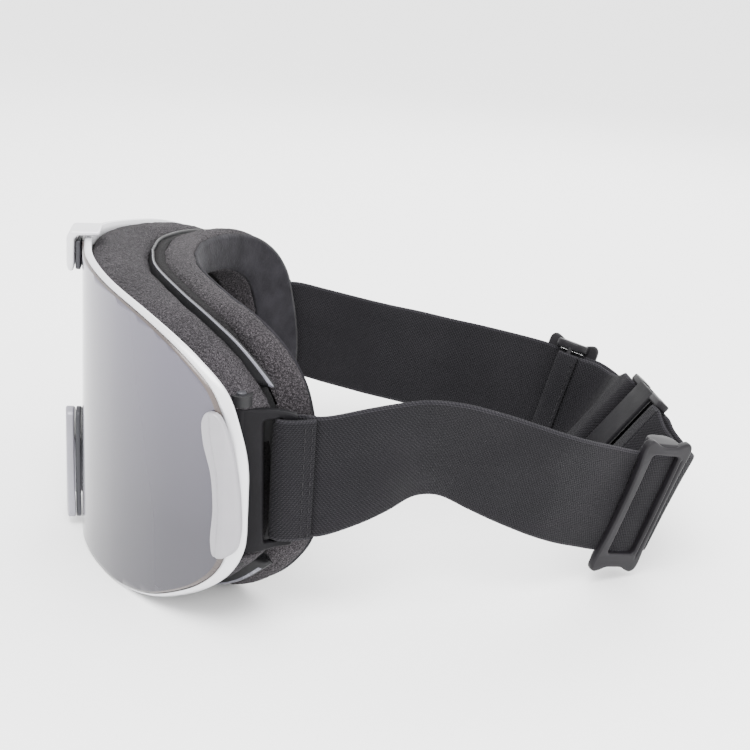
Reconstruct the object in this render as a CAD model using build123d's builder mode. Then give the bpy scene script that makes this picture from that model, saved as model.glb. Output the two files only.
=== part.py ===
from build123d import *
import math
import os

# Motorcycle goggles.
# Frame: +X wearer's left, -Y forward (the lens faces -Y), +Z up, millimetres.
# Every station below is given from the strap datum (middle plane, front strap
# seam, top edge of the webbing there); BY and BZ move it to the part origin,
# the middle of the footprint on the surface the goggles stand on.

# ---------------------------------------------------------------- dimensions
BY = -26.02           # strap datum to part origin, fore and aft
BZ = 66.0             # strap datum to part origin, height

WEB_W = 38.0          # elastic webbing width
WEB_T = 1.6           # elastic webbing thickness
LENS_T = 2.0          # lens sheet
BEZEL_T = 2.6         # depth of the silver lens carrier
GASKET_T = 0.8        # seal between carrier and chassis
FLANGE_T = 1.8        # rim behind the vent foam
BASE_T = 3.4          # smooth carrier layer of the face foam
FACE_T = 10.0         # coarse face foam
FLEECE_T = 1.6        # lining against the skin
WALL = 2.6            # chassis wall

PIN_R = 1.5           # outrigger hinge pin
PIN_CLEAR = 0.08      # running clearance round the pin
PIN_X, PIN_Y = 80.8, -21.0
OUT_TOP, OUT_BOT = 3.6, -41.6     # outrigger plate, top and bottom edge
OUT_T = 3.2           # outrigger plate thickness

SLIDE_C = {1: (50.5, 109.3, -40.2), -1: (50.5, 107.0, -37.0)}   # middle of each ladder-lock slider
SLIDE_U = (-0.50, 0.83, -0.20)    # run of the strap through it
SLIDE_LEAN = 16.0     # lean of the strap at the slider, degrees
SLIDER_L = 20.0       # slider length along the strap
SLIDER_H = 49.0       # slider height across the strap
BAR_W = 3.6           # rail and bar width

BUCKLE_C = (0.0, 113.5, -32.0)    # middle of the rear buckle
BUCKLE_LEAN = 38.0
BUCKLE_H = 43.0

os.makedirs("parts", exist_ok=True)


def pt(x, y, z):
    return (x, y + BY, z + BZ)


def half_to_full(points):
    return [(-x, y) for x, y in reversed(points[1:])] + list(points)


# ------------------------------------------------------------- plan curves
# Curves in plan, middle plane first, wearer's left side only.
LENS_PLAN = [(0, -73), (25, -70), (49, -60.5), (70, -46.5), (83, -34), (91, -24.5), (97.5, -15.5)]
FLANGE_PLAN = [(0, -51.5), (20, -49.5), (45, -40), (60, -31), (70, -22), (76, -15), (80, -8), (82.5, -1)]
REAR_PLAN = [(0, -35), (18, -33), (40, -25), (53, -17), (62, -9), (67, -3), (71, 3), (74, 9)]


def shifted(points, d):
    """Plan curve moved d mm back, square to itself."""
    out = []
    n = len(points)
    for i, (x, y) in enumerate(points):
        x0, y0 = points[max(i - 1, 0)]
        x1, y1 = points[min(i + 1, n - 1)]
        if i == 0:
            tx, ty = 1.0, 0.0
        else:
            ln = math.hypot(x1 - x0, y1 - y0)
            tx, ty = (x1 - x0) / ln, (y1 - y0) / ln
        out.append((x - ty * d, y + tx * d))
    out[0] = (0, out[0][1])
    return out


LENS_BACK = shifted(LENS_PLAN, LENS_T)
BEZEL_FRONT = shifted(LENS_PLAN, LENS_T + 0.1)
BEZEL_BACK = shifted(LENS_PLAN, LENS_T + 0.1 + BEZEL_T)
GASKET_FRONT = shifted(LENS_PLAN, LENS_T + 0.4 + BEZEL_T)
GASKET_BACK = shifted(LENS_PLAN, LENS_T + 0.4 + BEZEL_T + GASKET_T)
CHASSIS_FRONT = shifted(LENS_PLAN, LENS_T + 0.45 + BEZEL_T + GASKET_T)
FLANGE_BACK = shifted(FLANGE_PLAN, FLANGE_T)
BASE_FRONT = shifted(FLANGE_PLAN, FLANGE_T + 0.05)
BASE_BACK = shifted(FLANGE_PLAN, FLANGE_T + 0.05 + BASE_T)
FOAM_FRONT = shifted(FLANGE_PLAN, FLANGE_T + 0.1 + BASE_T)

# ---------------------------------------------------------- front outlines
# Outlines seen from the front (x, z), top middle first, bottom middle last.
LENS_OUT = [(0, 32.5), (20, 31.4), (40, 29), (60, 25.6), (72, 21.4), (80, 16.2), (86, 10), (89, 1.5),
            (90.6, -11), (91.0, -24), (90.6, -36), (88.6, -44), (84.5, -50.5), (78, -56.4), (69, -61.8), (56, -65.2),
            (43, -65.9), (30, -65.4), (19, -64), (12.5, -58.5), (8.5, -48), (4.5, -38.5), (0, -35.5)]
BEZEL_OUT = [(0, 33.6), (20, 32.5), (40, 30.1), (60, 26.7), (72.5, 22.4), (80.8, 17.1), (87, 10.6), (90.1, 1.8),
             (91.7, -11), (92.1, -24), (91.7, -36.3), (89.6, -44.6), (85.2, -51.3), (78.4, -57.2), (69, -62.1),
             (56, -65.4), (43, -65.8), (30, -65.4), (18.6, -64.1), (11.6, -58.8), (7.6, -48.4), (4.0, -37.8), (0, -34.6)]
BEZEL_IN = [(0, 25), (20, 24), (40, 21.5), (58, 18), (69, 13.5), (77, 6), (81.5, -3), (83.5, -14), (84, -24),
            (83, -34), (80, -41), (75, -46.5), (67, -51.5), (56, -55), (43, -56), (33, -55), (26, -50),
            (20, -42), (14, -33), (7, -27.5), (0, -26)]
CHASSIS_OUT = [(0, 30), (20, 29.4), (42, 27.4), (58, 24.4), (69, 19.6), (77, 12), (81, 3), (83, -8), (84, -22),
               (83, -38), (80, -47), (74, -55), (66, -60.6), (55, -64.6), (43, -65.6), (31, -64.6), (22, -58.5),
               (16.5, -48), (10, -37.5), (0, -33)]
CHASSIS_WALL = [(0, 23), (20, 22.4), (42, 20.6), (56, 17.6), (65, 13.4), (71.5, 6.5), (74.5, -1), (76, -10),
                (76.5, -22), (76, -36), (73, -43.5), (68, -49.5), (61, -54), (53, -57), (43, -58), (34, -56.4),
                (27.5, -50), (21.5, -40.5), (12, -30.5), (0, -26.6)]
CHASSIS_IN = [(0, 20.2), (20, 19.6), (41, 17.9), (54.5, 15), (63, 11), (69, 4.8), (71.8, -2), (73.2, -11),
              (73.7, -22), (73.2, -35), (70.4, -42), (66, -47.3), (59.6, -51.4), (52.4, -54.2), (43, -55.2),
              (35.6, -53.8), (29.8, -48.2), (23.6, -38.6), (13.2, -28), (0, -23.8)]
FACE_OUT = [(0, 29.4), (20, 29), (42, 27), (57, 23.2), (65, 17), (69.6, 8), (72, -5), (73.4, -22), (73, -38),
            (71, -47), (66, -56.5), (58, -64.2), (47, -67.4), (37, -65.4), (28.5, -57.5), (22, -46.5),
            (13, -36), (0, -31.5)]
FLANGE_OUT = [(0, 29.8), (20, 29.4), (43, 27.3), (59, 23.8), (69, 18.4), (76, 10.6), (79.6, 1), (81, -10),
              (81.5, -24), (80.6, -40), (77, -49), (71, -57), (62, -62.8), (50, -65.7), (38, -65), (28, -58.6),
              (21.4, -47.4), (12.4, -36.6), (0, -32.2)]
FACE_IN = [(0, 15.6), (20, 15.2), (38, 13.4), (49, 10), (55, 5), (58, -2), (59.6, -12), (60, -24), (59, -36),
           (56.6, -43.5), (52, -49), (46.5, -50.5), (41, -47), (34.6, -38), (27, -28), (15, -19.5), (0, -16)]
FLANGE_IN = [(0, 17), (20, 16.6), (38, 14.8), (51, 11), (58, 5.6), (62, -2), (64, -12), (64.5, -24), (63.4, -36),
             (60.4, -44.5), (54.5, -50.6), (47, -52.4), (40.6, -49), (33.6, -40), (26, -30), (14.6, -21), (0, -17.4)]


def outline(points):
    """Closed, left-right symmetric outline on the current sketch plane."""
    with BuildLine() as line:
        Spline(*points, tangents=((1, 0), (-1, 0)))
        mirror(about=Plane.YZ)
    make_face(line.edges())


def plan_band(front, back):
    """Closed plan region between a front curve and a back curve."""
    f = [(x, y + BY) for x, y in half_to_full(front)]
    b = [(x, y + BY) for x, y in half_to_full(back)]
    with BuildLine() as line:
        Spline(*f)
        Line(f[-1], b[-1])
        Spline(*b)
        Line(b[0], f[0])
    make_face(line.edges())


Z_LOW = BZ - 90.0
Z_SPAN = 150.0
FRONT = Plane.XZ.offset(0)


def zshift(points):
    return [(x, z + BZ) for x, z in points]


# ------------------------------------------------------------------- lens
with BuildPart() as lens:
    with BuildSketch(Plane.XY.offset(Z_LOW)):
        plan_band(LENS_PLAN, LENS_BACK)
    extrude(amount=Z_SPAN)
    with BuildSketch(FRONT):
        outline(zshift(LENS_OUT))
    extrude(amount=160, both=True, mode=Mode.INTERSECT)
lens.part.label = "lens"
export_step(lens.part, "parts/lens.step")

# ------------------------------------------------- silver lens carrier ring
with BuildPart() as bezel:
    with BuildSketch(Plane.XY.offset(Z_LOW)):
        plan_band(BEZEL_FRONT, BEZEL_BACK)
    extrude(amount=Z_SPAN)
    with BuildSketch(FRONT):
        outline(zshift(BEZEL_OUT))
    extrude(amount=160, both=True, mode=Mode.INTERSECT)
    with BuildSketch(FRONT):
        outline(zshift(BEZEL_IN))
    extrude(amount=160, both=True, mode=Mode.SUBTRACT)
    # ends short of the outriggers
    with BuildSketch(Plane.XY.offset(Z_LOW)):
        with Locations((0, -18.6 + 50.0 + BY)):
            Rectangle(260, 100)
    extrude(amount=Z_SPAN, mode=Mode.SUBTRACT)
bezel.part.label = "bezel"
export_step(bezel.part, "parts/bezel.step")

# ------------------------------------- seal between carrier and the chassis
with BuildPart() as lens_gasket:
    with BuildSketch(FRONT):
        outline(zshift(CHASSIS_WALL))
    extrude(amount=130)
    with BuildSketch(FRONT):
        outline(zshift(CHASSIS_IN))
    extrude(amount=130, mode=Mode.SUBTRACT)
    with BuildSketch(Plane.XY.offset(Z_LOW)):
        plan_band(GASKET_FRONT, GASKET_BACK)
    extrude(amount=Z_SPAN, mode=Mode.INTERSECT)
lens_gasket.part.label = "lens_gasket"
export_step(lens_gasket.part, "parts/lens_gasket.step")

# ----------------------------------------------------------- chassis frame
# A thin wall from the seal back to the face flange, with two hinge lugs a side.
with BuildPart() as chassis_frame:
    with BuildSketch(Plane.XY.offset(Z_LOW)):
        plan_band(CHASSIS_FRONT, FLANGE_PLAN)
    extrude(amount=Z_SPAN)
    with BuildSketch(FRONT):
        outline(zshift(CHASSIS_WALL))
    extrude(amount=160, both=True, mode=Mode.INTERSECT)
    with BuildSketch(FRONT):
        outline(zshift(CHASSIS_IN))
    extrude(amount=160, both=True, mode=Mode.SUBTRACT)
    for side in (1, -1):
        for z0 in (OUT_TOP + 0.4, OUT_BOT - 3.6):
            with BuildSketch(Plane.XY.offset(z0 + BZ)):
                with BuildLine():
                    a = (side * 72.6, PIN_Y - 3.2 + BY)
                    b = (side * PIN_X, PIN_Y - 3.2 + BY)
                    c = (side * (PIN_X + 3.2), PIN_Y + BY)
                    d = (side * PIN_X, PIN_Y + 3.2 + BY)
                    e = (side * 72.6, PIN_Y + 3.2 + BY)
                    Line(a, b)
                    ThreePointArc(b, c, d)
                    Line(d, e)
                    Line(e, a)
                make_face()
            extrude(amount=3.2)
    for side in (1, -1):
        with BuildSketch(Plane.XY.offset(OUT_BOT - 6 + BZ)):
            with Locations((side * PIN_X, PIN_Y + BY)):
                Circle(PIN_R + 0.03)
        extrude(amount=60, mode=Mode.SUBTRACT)
chassis_frame.part.label = "chassis_frame"
export_step(chassis_frame.part, "parts/chassis_frame.step")


# -------------------------------------------------------------- vent foams
# Coarse filter foam round the chassis wall; split at the outriggers.
def vent_foam(top):
    with BuildPart() as p:
        with BuildSketch(Plane.XY.offset(Z_LOW)):
            plan_band(shifted(CHASSIS_FRONT, 0.2), shifted(FLANGE_PLAN, -0.1))
        extrude(amount=Z_SPAN)
        with BuildSketch(FRONT):
            outline(zshift(CHASSIS_OUT))
        extrude(amount=160, both=True, mode=Mode.INTERSECT)
        with BuildSketch(FRONT):
            outline(zshift(CHASSIS_WALL))
        extrude(amount=160, both=True, mode=Mode.SUBTRACT)
        z0 = 9.0 if top else -130.0
        z1 = 60.0 if top else -47.0
        with BuildSketch(Plane.XY.offset(z0 + BZ)):
            Rectangle(260, 300)
        extrude(amount=z1 - z0, mode=Mode.INTERSECT)
    return p.part


upper_vent_foam = vent_foam(True)
upper_vent_foam.label = "upper_vent_foam"
export_step(upper_vent_foam, "parts/upper_vent_foam.step")
lower_vent_foam = vent_foam(False)
lower_vent_foam.label = "lower_vent_foam"
export_step(lower_vent_foam, "parts/lower_vent_foam.step")

# ------------------------------------------------- flange behind the foams
with BuildPart() as face_flange:
    with BuildSketch(Plane.XY.offset(Z_LOW)):
        plan_band(FLANGE_PLAN, FLANGE_BACK)
    extrude(amount=Z_SPAN)
    with BuildSketch(FRONT):
        outline(zshift(FLANGE_OUT))
    extrude(amount=160, both=True, mode=Mode.INTERSECT)
    with BuildSketch(FRONT):
        outline(zshift(FLANGE_IN))
    extrude(amount=160, both=True, mode=Mode.SUBTRACT)
    # notch each side for the outrigger
    for side in (1, -1):
        with BuildSketch(Plane.XY.offset(-46.4 + BZ)):
            with Locations((side * 82.0, -15.0 + BY)):
                Rectangle(20.0, 60.0)
        extrude(amount=54.4, mode=Mode.SUBTRACT)
face_flange.part.label = "face_flange"
export_step(face_flange.part, "parts/face_flange.step")

# ------------------------------------------- smooth layer of the face foam
with BuildPart() as foam_base_layer:
    with BuildSketch(Plane.XY.offset(Z_LOW)):
        plan_band(BASE_FRONT, BASE_BACK)
    extrude(amount=Z_SPAN)
    with BuildSketch(FRONT):
        outline(zshift([(x * 0.985, z * 0.97 + 0.1) for x, z in FACE_OUT]))
    extrude(amount=160, both=True, mode=Mode.INTERSECT)
    with BuildSketch(FRONT):
        outline(zshift(FACE_IN))
    extrude(amount=160, both=True, mode=Mode.SUBTRACT)
foam_base_layer.part.label = "foam_base_layer"
export_step(foam_base_layer.part, "parts/foam_base_layer.step")

# --------------------------------------------------------- coarse face foam
with BuildPart() as face_foam:
    with BuildSketch(Plane.XY.offset(Z_LOW)):
        plan_band(FOAM_FRONT, shifted(REAR_PLAN, -FLEECE_T))
    extrude(amount=Z_SPAN)
    with BuildSketch(FRONT):
        outline(zshift(FACE_OUT))
    extrude(amount=160, both=True, mode=Mode.INTERSECT)
    with BuildSketch(FRONT):
        outline(zshift(FACE_IN))
    extrude(amount=160, both=True, mode=Mode.SUBTRACT)
    # flat where the foam stands on a surface
    with BuildSketch(Plane.XY.offset(-10.0)):
        Rectangle(260, 300)
    extrude(amount=10.0, mode=Mode.SUBTRACT)
face_foam.part.label = "face_foam"
export_step(face_foam.part, "parts/face_foam.step")

# --------------------------------------------------------------- fleece lining
with BuildPart() as fleece_lining:
    with BuildSketch(Plane.XY.offset(Z_LOW)):
        plan_band(shifted(REAR_PLAN, -FLEECE_T + 0.05), REAR_PLAN)
    extrude(amount=Z_SPAN)
    with BuildSketch(FRONT):
        outline(zshift([(x * 0.985, z * 0.97 + 0.1) for x, z in FACE_OUT]))
    extrude(amount=160, both=True, mode=Mode.INTERSECT)
    with BuildSketch(FRONT):
        outline(zshift([(x * 1.01, z * 1.01) for x, z in FACE_IN]))
    extrude(amount=160, both=True, mode=Mode.SUBTRACT)
fleece_lining.part.label = "fleece_lining"
export_step(fleece_lining.part, "parts/fleece_lining.step")

# --------------------------------------------------------- clips and catches
# Brow clip: a silver hook on the carrier that laps over the lens edge.
with BuildPart() as top_clip:
    with BuildSketch(Plane.YZ.offset(-7.0)):
        with BuildLine():
            Polyline((-77.6 + BY, 36.0 + BZ), (-67.0 + BY, 36.0 + BZ), (-67.0 + BY, 34.0 + BZ),
                     (-74.2 + BY, 34.0 + BZ), (-75.2 + BY, 33.0 + BZ), (-75.2 + BY, 22.0 + BZ),
                     (-78.0 + BY, 22.0 + BZ), (-78.6 + BY, 23.0 + BZ), (-78.6 + BY, 34.8 + BZ), close=True)
        make_face()
    extrude(amount=14.0)
    fillet(top_clip.edges().filter_by(Axis.Z).group_by(Axis.Y)[0], 0.8)
top_clip.part.label = "top_clip"
export_step(top_clip.part, "parts/top_clip.step")

# Latch plate under it, part of the same two-layer clip, on the carrier's ring.
with BuildPart() as top_catch:
    with BuildSketch(Plane.YZ.offset(-6.0)):
        with BuildLine():
            Polyline((-74.9 + BY, 32.4 + BZ), (-73.2 + BY, 32.4 + BZ), (-73.2 + BY, 22.6 + BZ),
                     (-74.9 + BY, 22.6 + BZ), close=True)
        make_face()
    extrude(amount=12.0)
top_catch.part.label = "top_catch"
export_step(top_catch.part, "parts/top_catch.step")


# Nose clip: an inverted V over the nose cut-out, a front hook and a rear pad.
def nose_v(y0, y1, wide, zc):
    """Inverted V plate between y0 and y1."""
    with BuildPart() as p:
        with BuildSketch(Plane.XZ.offset(-(y1 + BY))):
            with BuildLine() as ln:
                Polyline((0, -26.5 + BZ), (3.6, -28.0 + BZ), (6.2, -36.0 + BZ), (9.0 + wide, -50.0 + BZ),
                         (12.0 + wide, -62.0 + BZ), (9.6 + wide, -63.4 + BZ), (6.6, -60.0 + BZ),
                         (4.4, -48.0 + BZ), (1.6, -39.0 + BZ), (0, -38.0 + BZ))
                mirror(about=Plane.YZ)
            make_face(ln.edges())
        extrude(amount=y1 - y0)
    return p.part


nose_clip = nose_v(-78.6, -75.4, 0.6, 0)
nose_clip.label = "nose_clip"
export_step(nose_clip, "parts/nose_clip.step")
nose_catch = nose_v(-75.2, -73.4, 0.0, 0)
nose_catch.label = "nose_catch"
export_step(nose_catch, "parts/nose_catch.step")


# Side bracket: silver bar hooked over the lens end.
def side_bracket(side):
    # plan band outside the lens between two stations of its plan curve
    outer = shifted(LENS_PLAN, -2.6)
    inner = shifted(LENS_PLAN, -0.15)
    with BuildPart() as p:
        with BuildSketch(Plane.XY.offset(Z_LOW)):
            plan_band(outer, inner)
        extrude(amount=Z_SPAN)
        with BuildSketch(FRONT):
            with BuildLine() as ln:
                Spline((side * 87.4, 4.4 + BZ), (side * 89.6, 4.6 + BZ), (side * 91.6, -1.0 + BZ),
                       (side * 93.0, -12.0 + BZ), (side * 93.5, -24.0 + BZ), (side * 93.0, -34.5 + BZ),
                       (side * 91.6, -41.4 + BZ), (side * 89.8, -41.6 + BZ), (side * 89.0, -35.0 + BZ),
                       (side * 89.2, -24.0 + BZ), (side * 88.4, -14.0 + BZ), (side * 86.2, -4.6 + BZ),
                       (side * 85.8, 1.6 + BZ), (side * 87.4, 4.4 + BZ), periodic=False)
            make_face(ln.edges())
        extrude(amount=160, both=True, mode=Mode.INTERSECT)
    return p.part


left_side_bracket = side_bracket(1)
left_side_bracket.label = "left_side_bracket"
export_step(left_side_bracket, "parts/left_side_bracket.step")
right_side_bracket = side_bracket(-1)
right_side_bracket.label = "right_side_bracket"
export_step(right_side_bracket, "parts/right_side_bracket.step")


# ------------------------------------------------------------- outriggers
def hinge_pin(side):
    with BuildPart() as p:
        with BuildSketch(Plane.XY.offset(OUT_BOT - 4.2 + BZ)):
            with Locations((side * PIN_X, PIN_Y + BY)):
                Circle(PIN_R)
        extrude(amount=OUT_TOP - OUT_BOT + 8.6)
        chamfer(p.edges().filter_by(GeomType.CIRCLE), 0.3)
    return p.part


def outrigger(side):
    """D-shaped plate on a vertical pin, with a window and a rear strap bar."""
    h = OUT_TOP - OUT_BOT
    with BuildPart() as p:
        with BuildSketch(Plane.XY.offset(OUT_BOT + BZ)):
            with BuildLine():
                Polyline((side * (PIN_X - 1.6), PIN_Y - 3.0 + BY), (side * (PIN_X + 2.0), PIN_Y - 3.0 + BY),
                         (side * (PIN_X + 3.2), PIN_Y - 1.0 + BY), (side * (PIN_X + 2.2), PIN_Y + 8.0 + BY),
                         (side * 79.9, -9.0 + BY), (side * 79.9, -4.6 + BY), (side * 77.1, -4.6 + BY),
                         (side * 77.1, -9.0 + BY),
                         (side * (PIN_X - 1.4), PIN_Y + 8.0 + BY), (side * (PIN_X - 3.0), PIN_Y + 1.0 + BY),
                         (side * (PIN_X - 3.0), PIN_Y - 1.6 + BY), close=True)
            make_face()
        extrude(amount=h)
        # window for the webbing
        with BuildSketch(Plane.YZ):
            with Locations((-10.9 + BY, (OUT_TOP + OUT_BOT) / 2 + BZ)):
                RectangleRounded(5.0, WEB_W + 1.2, 1.0)
        extrude(amount=120, both=True, mode=Mode.SUBTRACT)
        # rounded outer corners
        with BuildSketch(Plane.YZ):
            with Locations(((PIN_Y - 3.2 - 4.6) / 2 + BY, (OUT_TOP + OUT_BOT) / 2 + BZ)):
                RectangleRounded(-4.6 - PIN_Y + 3.2 + 0.2, h, 2.6)
        extrude(amount=120, both=True, mode=Mode.INTERSECT)
        with BuildSketch(Plane.XY.offset(OUT_BOT - 1 + BZ)):
            with Locations((side * PIN_X, PIN_Y + BY)):
                Circle(PIN_R + PIN_CLEAR)
        extrude(amount=h + 2, mode=Mode.SUBTRACT)
    return p.part


def strap_loop(side):
    """Webbing sewn round the outrigger's rear bar."""
    cx = 78.4
    with BuildPart() as p:
        with BuildSketch(Plane.XY.offset(-WEB_W + BZ)):
            with BuildLine():
                Polyline((side * (cx - 3.6), -5.0 + BY), (side * (cx - 3.0), -9.6 + BY), (side * (cx - 0.6), -11.6 + BY),
                         (side * (cx + 1.6), -11.6 + BY), (side * (cx + 4.0), -9.6 + BY), (side * (cx + 3.6), -5.0 + BY),
                         (side * (cx + 1.6), 0.0 + BY), (side * (cx + 1.4), 1.6 + BY), (side * (cx - 1.6), 1.6 + BY),
                         (side * (cx - 1.9), 0.0 + BY), close=True)
            make_face()
        extrude(amount=WEB_W)
        with BuildSketch(Plane.XY.offset(-WEB_W - 1 + BZ)):
            with BuildLine():
                Polyline((side * (cx - 2.05), -5.4 + BY), (side * (cx - 1.6), -8.9 + BY), (side * (cx - 0.4), -9.9 + BY),
                         (side * (cx + 1.3), -9.9 + BY), (side * (cx + 2.5), -8.9 + BY), (side * (cx + 2.05), -5.4 + BY),
                         (side * (cx + 1.5), -3.6 + BY), (side * (cx - 1.7), -3.6 + BY), close=True)
            make_face()
        extrude(amount=WEB_W + 2, mode=Mode.SUBTRACT)
    return p.part


for side, name in ((1, "left"), (-1, "right")):
    pin = hinge_pin(side)
    pin.label = name + "_hinge_pin"
    export_step(pin, "parts/" + name + "_hinge_pin.step")
    rig = outrigger(side)
    rig.label = name + "_outrigger"
    export_step(rig, "parts/" + name + "_outrigger.step")
    loop = strap_loop(side)
    loop.label = name + "_strap_loop"
    export_step(loop, "parts/" + name + "_strap_loop.step")


# ------------------------------------------------------------------ webbing
def unit(v):
    n = math.sqrt(sum(c * c for c in v))
    return tuple(c / n for c in v)


def dot(a, b):
    return sum(x * y for x, y in zip(a, b))


def cross(a, b):
    return (a[1] * b[2] - a[2] * b[1], a[2] * b[0] - a[0] * b[2], a[0] * b[1] - a[1] * b[0])


def vadd(a, b, k=1.0):
    return tuple(x + k * y for x, y in zip(a, b))


def lean_up(t, lean, square=True):
    """Width direction of a strap that runs along t and leans out by lean degrees."""
    h = unit((t[0], t[1], 0.0))
    out = (h[1], -h[0], 0.0)
    a = math.radians(lean)
    v = (math.sin(a) * out[0], math.sin(a) * out[1], math.cos(a))
    return unit(vadd(v, t, -dot(v, t))) if square else v


def flip(v, side):
    return (side * v[0], v[1], v[2])


def ribbon(stations, side, width=WEB_W, thick=WEB_T):
    """Webbing through stations of (middle point, run direction, width direction)."""
    with BuildPart() as p:
        for a, b in zip(stations[:-1], stations[1:]):
            for c, t, v in (a, b):
                z = unit(vadd(t, v, -dot(t, v)))
                with BuildSketch(Plane(origin=pt(*flip(c, side)), x_dir=flip(v, side), z_dir=flip(z, side))):
                    Rectangle(width, thick)
            loft(ruled=True)
    return p.part


U = unit(SLIDE_U)
V = lean_up(U, SLIDE_LEAN)
W = cross(U, V)                        # outward, square to the strap


def at_slider(u, v, w, side=1):
    return tuple(SLIDE_C[side][i] + u * U[i] + v * V[i] + w * W[i] for i in range(3))


STRAP_V = 1.2         # the webbing sits this far above the slider's middle

# top edge of each main strap and its lean, from the front seam to the slider
TOP_EDGE = {
    1: [((78.6, 3.2, 0.4), 0.0), ((79.9, 14.0, 3.2), 6.0), ((80.8, 24.0, 5.6), 13.0),
        ((80.9, 33.0, 7.2), 20.0), ((80.4, 42.0, 6.4), 22.5), ((78.8, 54.0, 3.2), 22.0),
        ((76.2, 66.0, -1.0), 20.5), ((72.2, 79.0, -6.0), 18.5)],
    -1: [((78.6, 3.2, -0.4), 2.0), ((79.9, 14.0, -2.9), 8.0), ((80.6, 24.0, -5.2), 12.0),
         ((80.7, 33.0, -7.2), 14.0), ((80.0, 43.0, -9.0), 15.0), ((78.6, 54.0, -10.6), 16.0),
         ((75.8, 66.0, -12.4), 16.0), ((71.6, 78.0, -13.6), 16.0)],
}


def strap_stations(side):
    edge = TOP_EDGE[side]
    mids = []
    for i, (top, lean) in enumerate(edge):
        a = edge[max(i - 1, 0)][0]
        b = edge[min(i + 1, len(edge) - 1)][0]
        t = unit(vadd(b, a, -1.0))
        v = lean_up(t, lean, square=False)
        if i > 4:
            k = (i - 4) / (len(edge) - 3)
            v = unit(tuple((1 - k) * v[j] + k * V[j] for j in range(3)))
        mids.append((vadd(top, v, -WEB_W / 2), t, v))
    lead = mids[:2]
    main = [(vadd(mids[1][0], mids[1][1], 0.3), mids[1][1], mids[1][2])] + mids[2:] + [
        (at_slider(-27.0, STRAP_V, 0, side), U, V), (at_slider(12.5, STRAP_V, 0, side), U, V)]
    return lead, main


# rear buckle frame: BU from the left half to the right half, BV up, BW outward
ba = math.radians(BUCKLE_LEAN)
BU = (-1.0, 0.0, 0.0)
BV = (0.0, math.sin(ba), math.cos(ba))
BW = cross(BU, BV)


def at_buckle(u, v, w, side=1):
    p = tuple(BUCKLE_C[i] + u * BU[i] + v * BV[i] + w * BW[i] for i in range(3))
    return (side * p[0], p[1], p[2])


def smooth_stations(points, ends):
    """Stations through middle points, width direction turned evenly between two ends."""
    out = []
    n = len(points)
    for i, c in enumerate(points):
        a, b = points[max(i - 1, 0)], points[min(i + 1, n - 1)]
        t = unit(vadd(b, a, -1.0))
        k = i / (n - 1)
        v = unit(tuple((1 - k) * ends[0][j] + k * ends[1][j] for j in range(3)))
        out.append((c, t, v))
    return out


REAR_MID = {
    1: [(40.6, 122.2, -42.9), (35.8, 121.6, -42.2), (30.6, 119.4, -39.8), (25.6, 117.0, -36.6)],
    -1: [(40.2, 119.8, -39.6), (35.5, 119.3, -39.8), (30.5, 117.6, -38.4), (25.6, 116.0, -36.2)],
}
RETURN_MID = {
    1: [(36.8, 117.6, -41.2), (31.2, 115.6, -38.4), (26.0, 113.4, -34.8)],
    -1: [(36.8, 115.4, -38.4), (31.2, 114.2, -36.8), (26.0, 112.6, -34.2)],
}


def rear_stations(side):
    pts = [at_slider(12.8, STRAP_V, 0, side)] + REAR_MID[side] + [at_buckle(-20.8, 0, 2.4)]
    st = smooth_stations(pts, (V, BV))
    st[0] = (pts[0], U, V)
    st[-1] = (pts[-1], (-1.0, 0.0, 0.0), BV)
    return st


def return_stations(side):
    pts = [at_slider(4.8, 0, -3.5, side), at_slider(11.0, 0.2, -3.8, side)] + RETURN_MID[side] + [
        at_buckle(-20.8, 0, -2.4)]
    st = smooth_stations(pts, (V, BV))
    st[0] = (pts[0], U, V)
    st[-1] = (pts[-1], (-1.0, 0.0, 0.0), BV)
    return st


for side, name in ((1, "left"), (-1, "right")):
    lead_st, main_st = strap_stations(side)
    for label, st in (("strap_lead", lead_st), ("strap", main_st),
                      ("rear_strap", rear_stations(side)), ("return_strap", return_stations(side))):
        web = ribbon(st, side)
        web.label = name + "_" + label
        export_step(web, "parts/" + name + "_" + label + ".step")


# ------------------------------------------------------ ladder-lock sliders
def slider(side):
    """Two outer rails, an inner middle bar, and thick ends that join them."""
    def plane(w):
        return Plane(origin=pt(*flip(at_slider(0, 0, w, side), side)), x_dir=flip(U, side), z_dir=flip(W, side))
    h2 = SLIDER_H / 2
    with BuildPart() as p:
        # ends
        with BuildSketch(plane(-5.0)):
            with Locations((0, h2 - 2.1), (0, -h2 + 2.1)):
                RectangleRounded(SLIDER_L, 4.2, 1.9)
        extrude(amount=8.4)
        # outer rails
        with BuildSketch(plane(1.3)):
            with Locations((-SLIDER_L / 2 + BAR_W / 2, 0), (SLIDER_L / 2 - BAR_W / 2, 0)):
                Rectangle(BAR_W, SLIDER_H - 6)
        extrude(amount=2.1)
        # middle bar, behind the strap
        with BuildSketch(plane(-4.5)):
            Rectangle(4.4, SLIDER_H - 6)
        extrude(amount=1.9)
    return p.part


def sewn_end(side):
    """End of the webbing folded round the slider's middle bar."""
    o = pt(*flip(at_slider(0, -WEB_W / 2, 0, side), side))
    sgn = side
    with BuildPart() as p:
        with BuildSketch(Plane(origin=o, x_dir=flip(U, side), z_dir=flip(V, side))):
            with BuildLine():
                # in this plane +y is outward on the left side and inward on the right
                s = -sgn
                Polyline((-3.9, s * 1.9), (-2.9, s * 1.15), (4.4, s * 1.15), (4.4, s * 5.85), (-2.9, s * 5.85),
                         (-3.9, s * 5.0), close=True)
            make_face()
        extrude(amount=WEB_W)
        with BuildSketch(Plane(origin=pt(*flip(at_slider(0, -WEB_W / 2 - 1, 0, side), side)), x_dir=flip(U, side),
                               z_dir=flip(V, side))):
            with Locations((0, -sgn * 3.55)):
                Rectangle(5.0, 2.3)
        extrude(amount=WEB_W + 2, mode=Mode.SUBTRACT)
    return p.part


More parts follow.
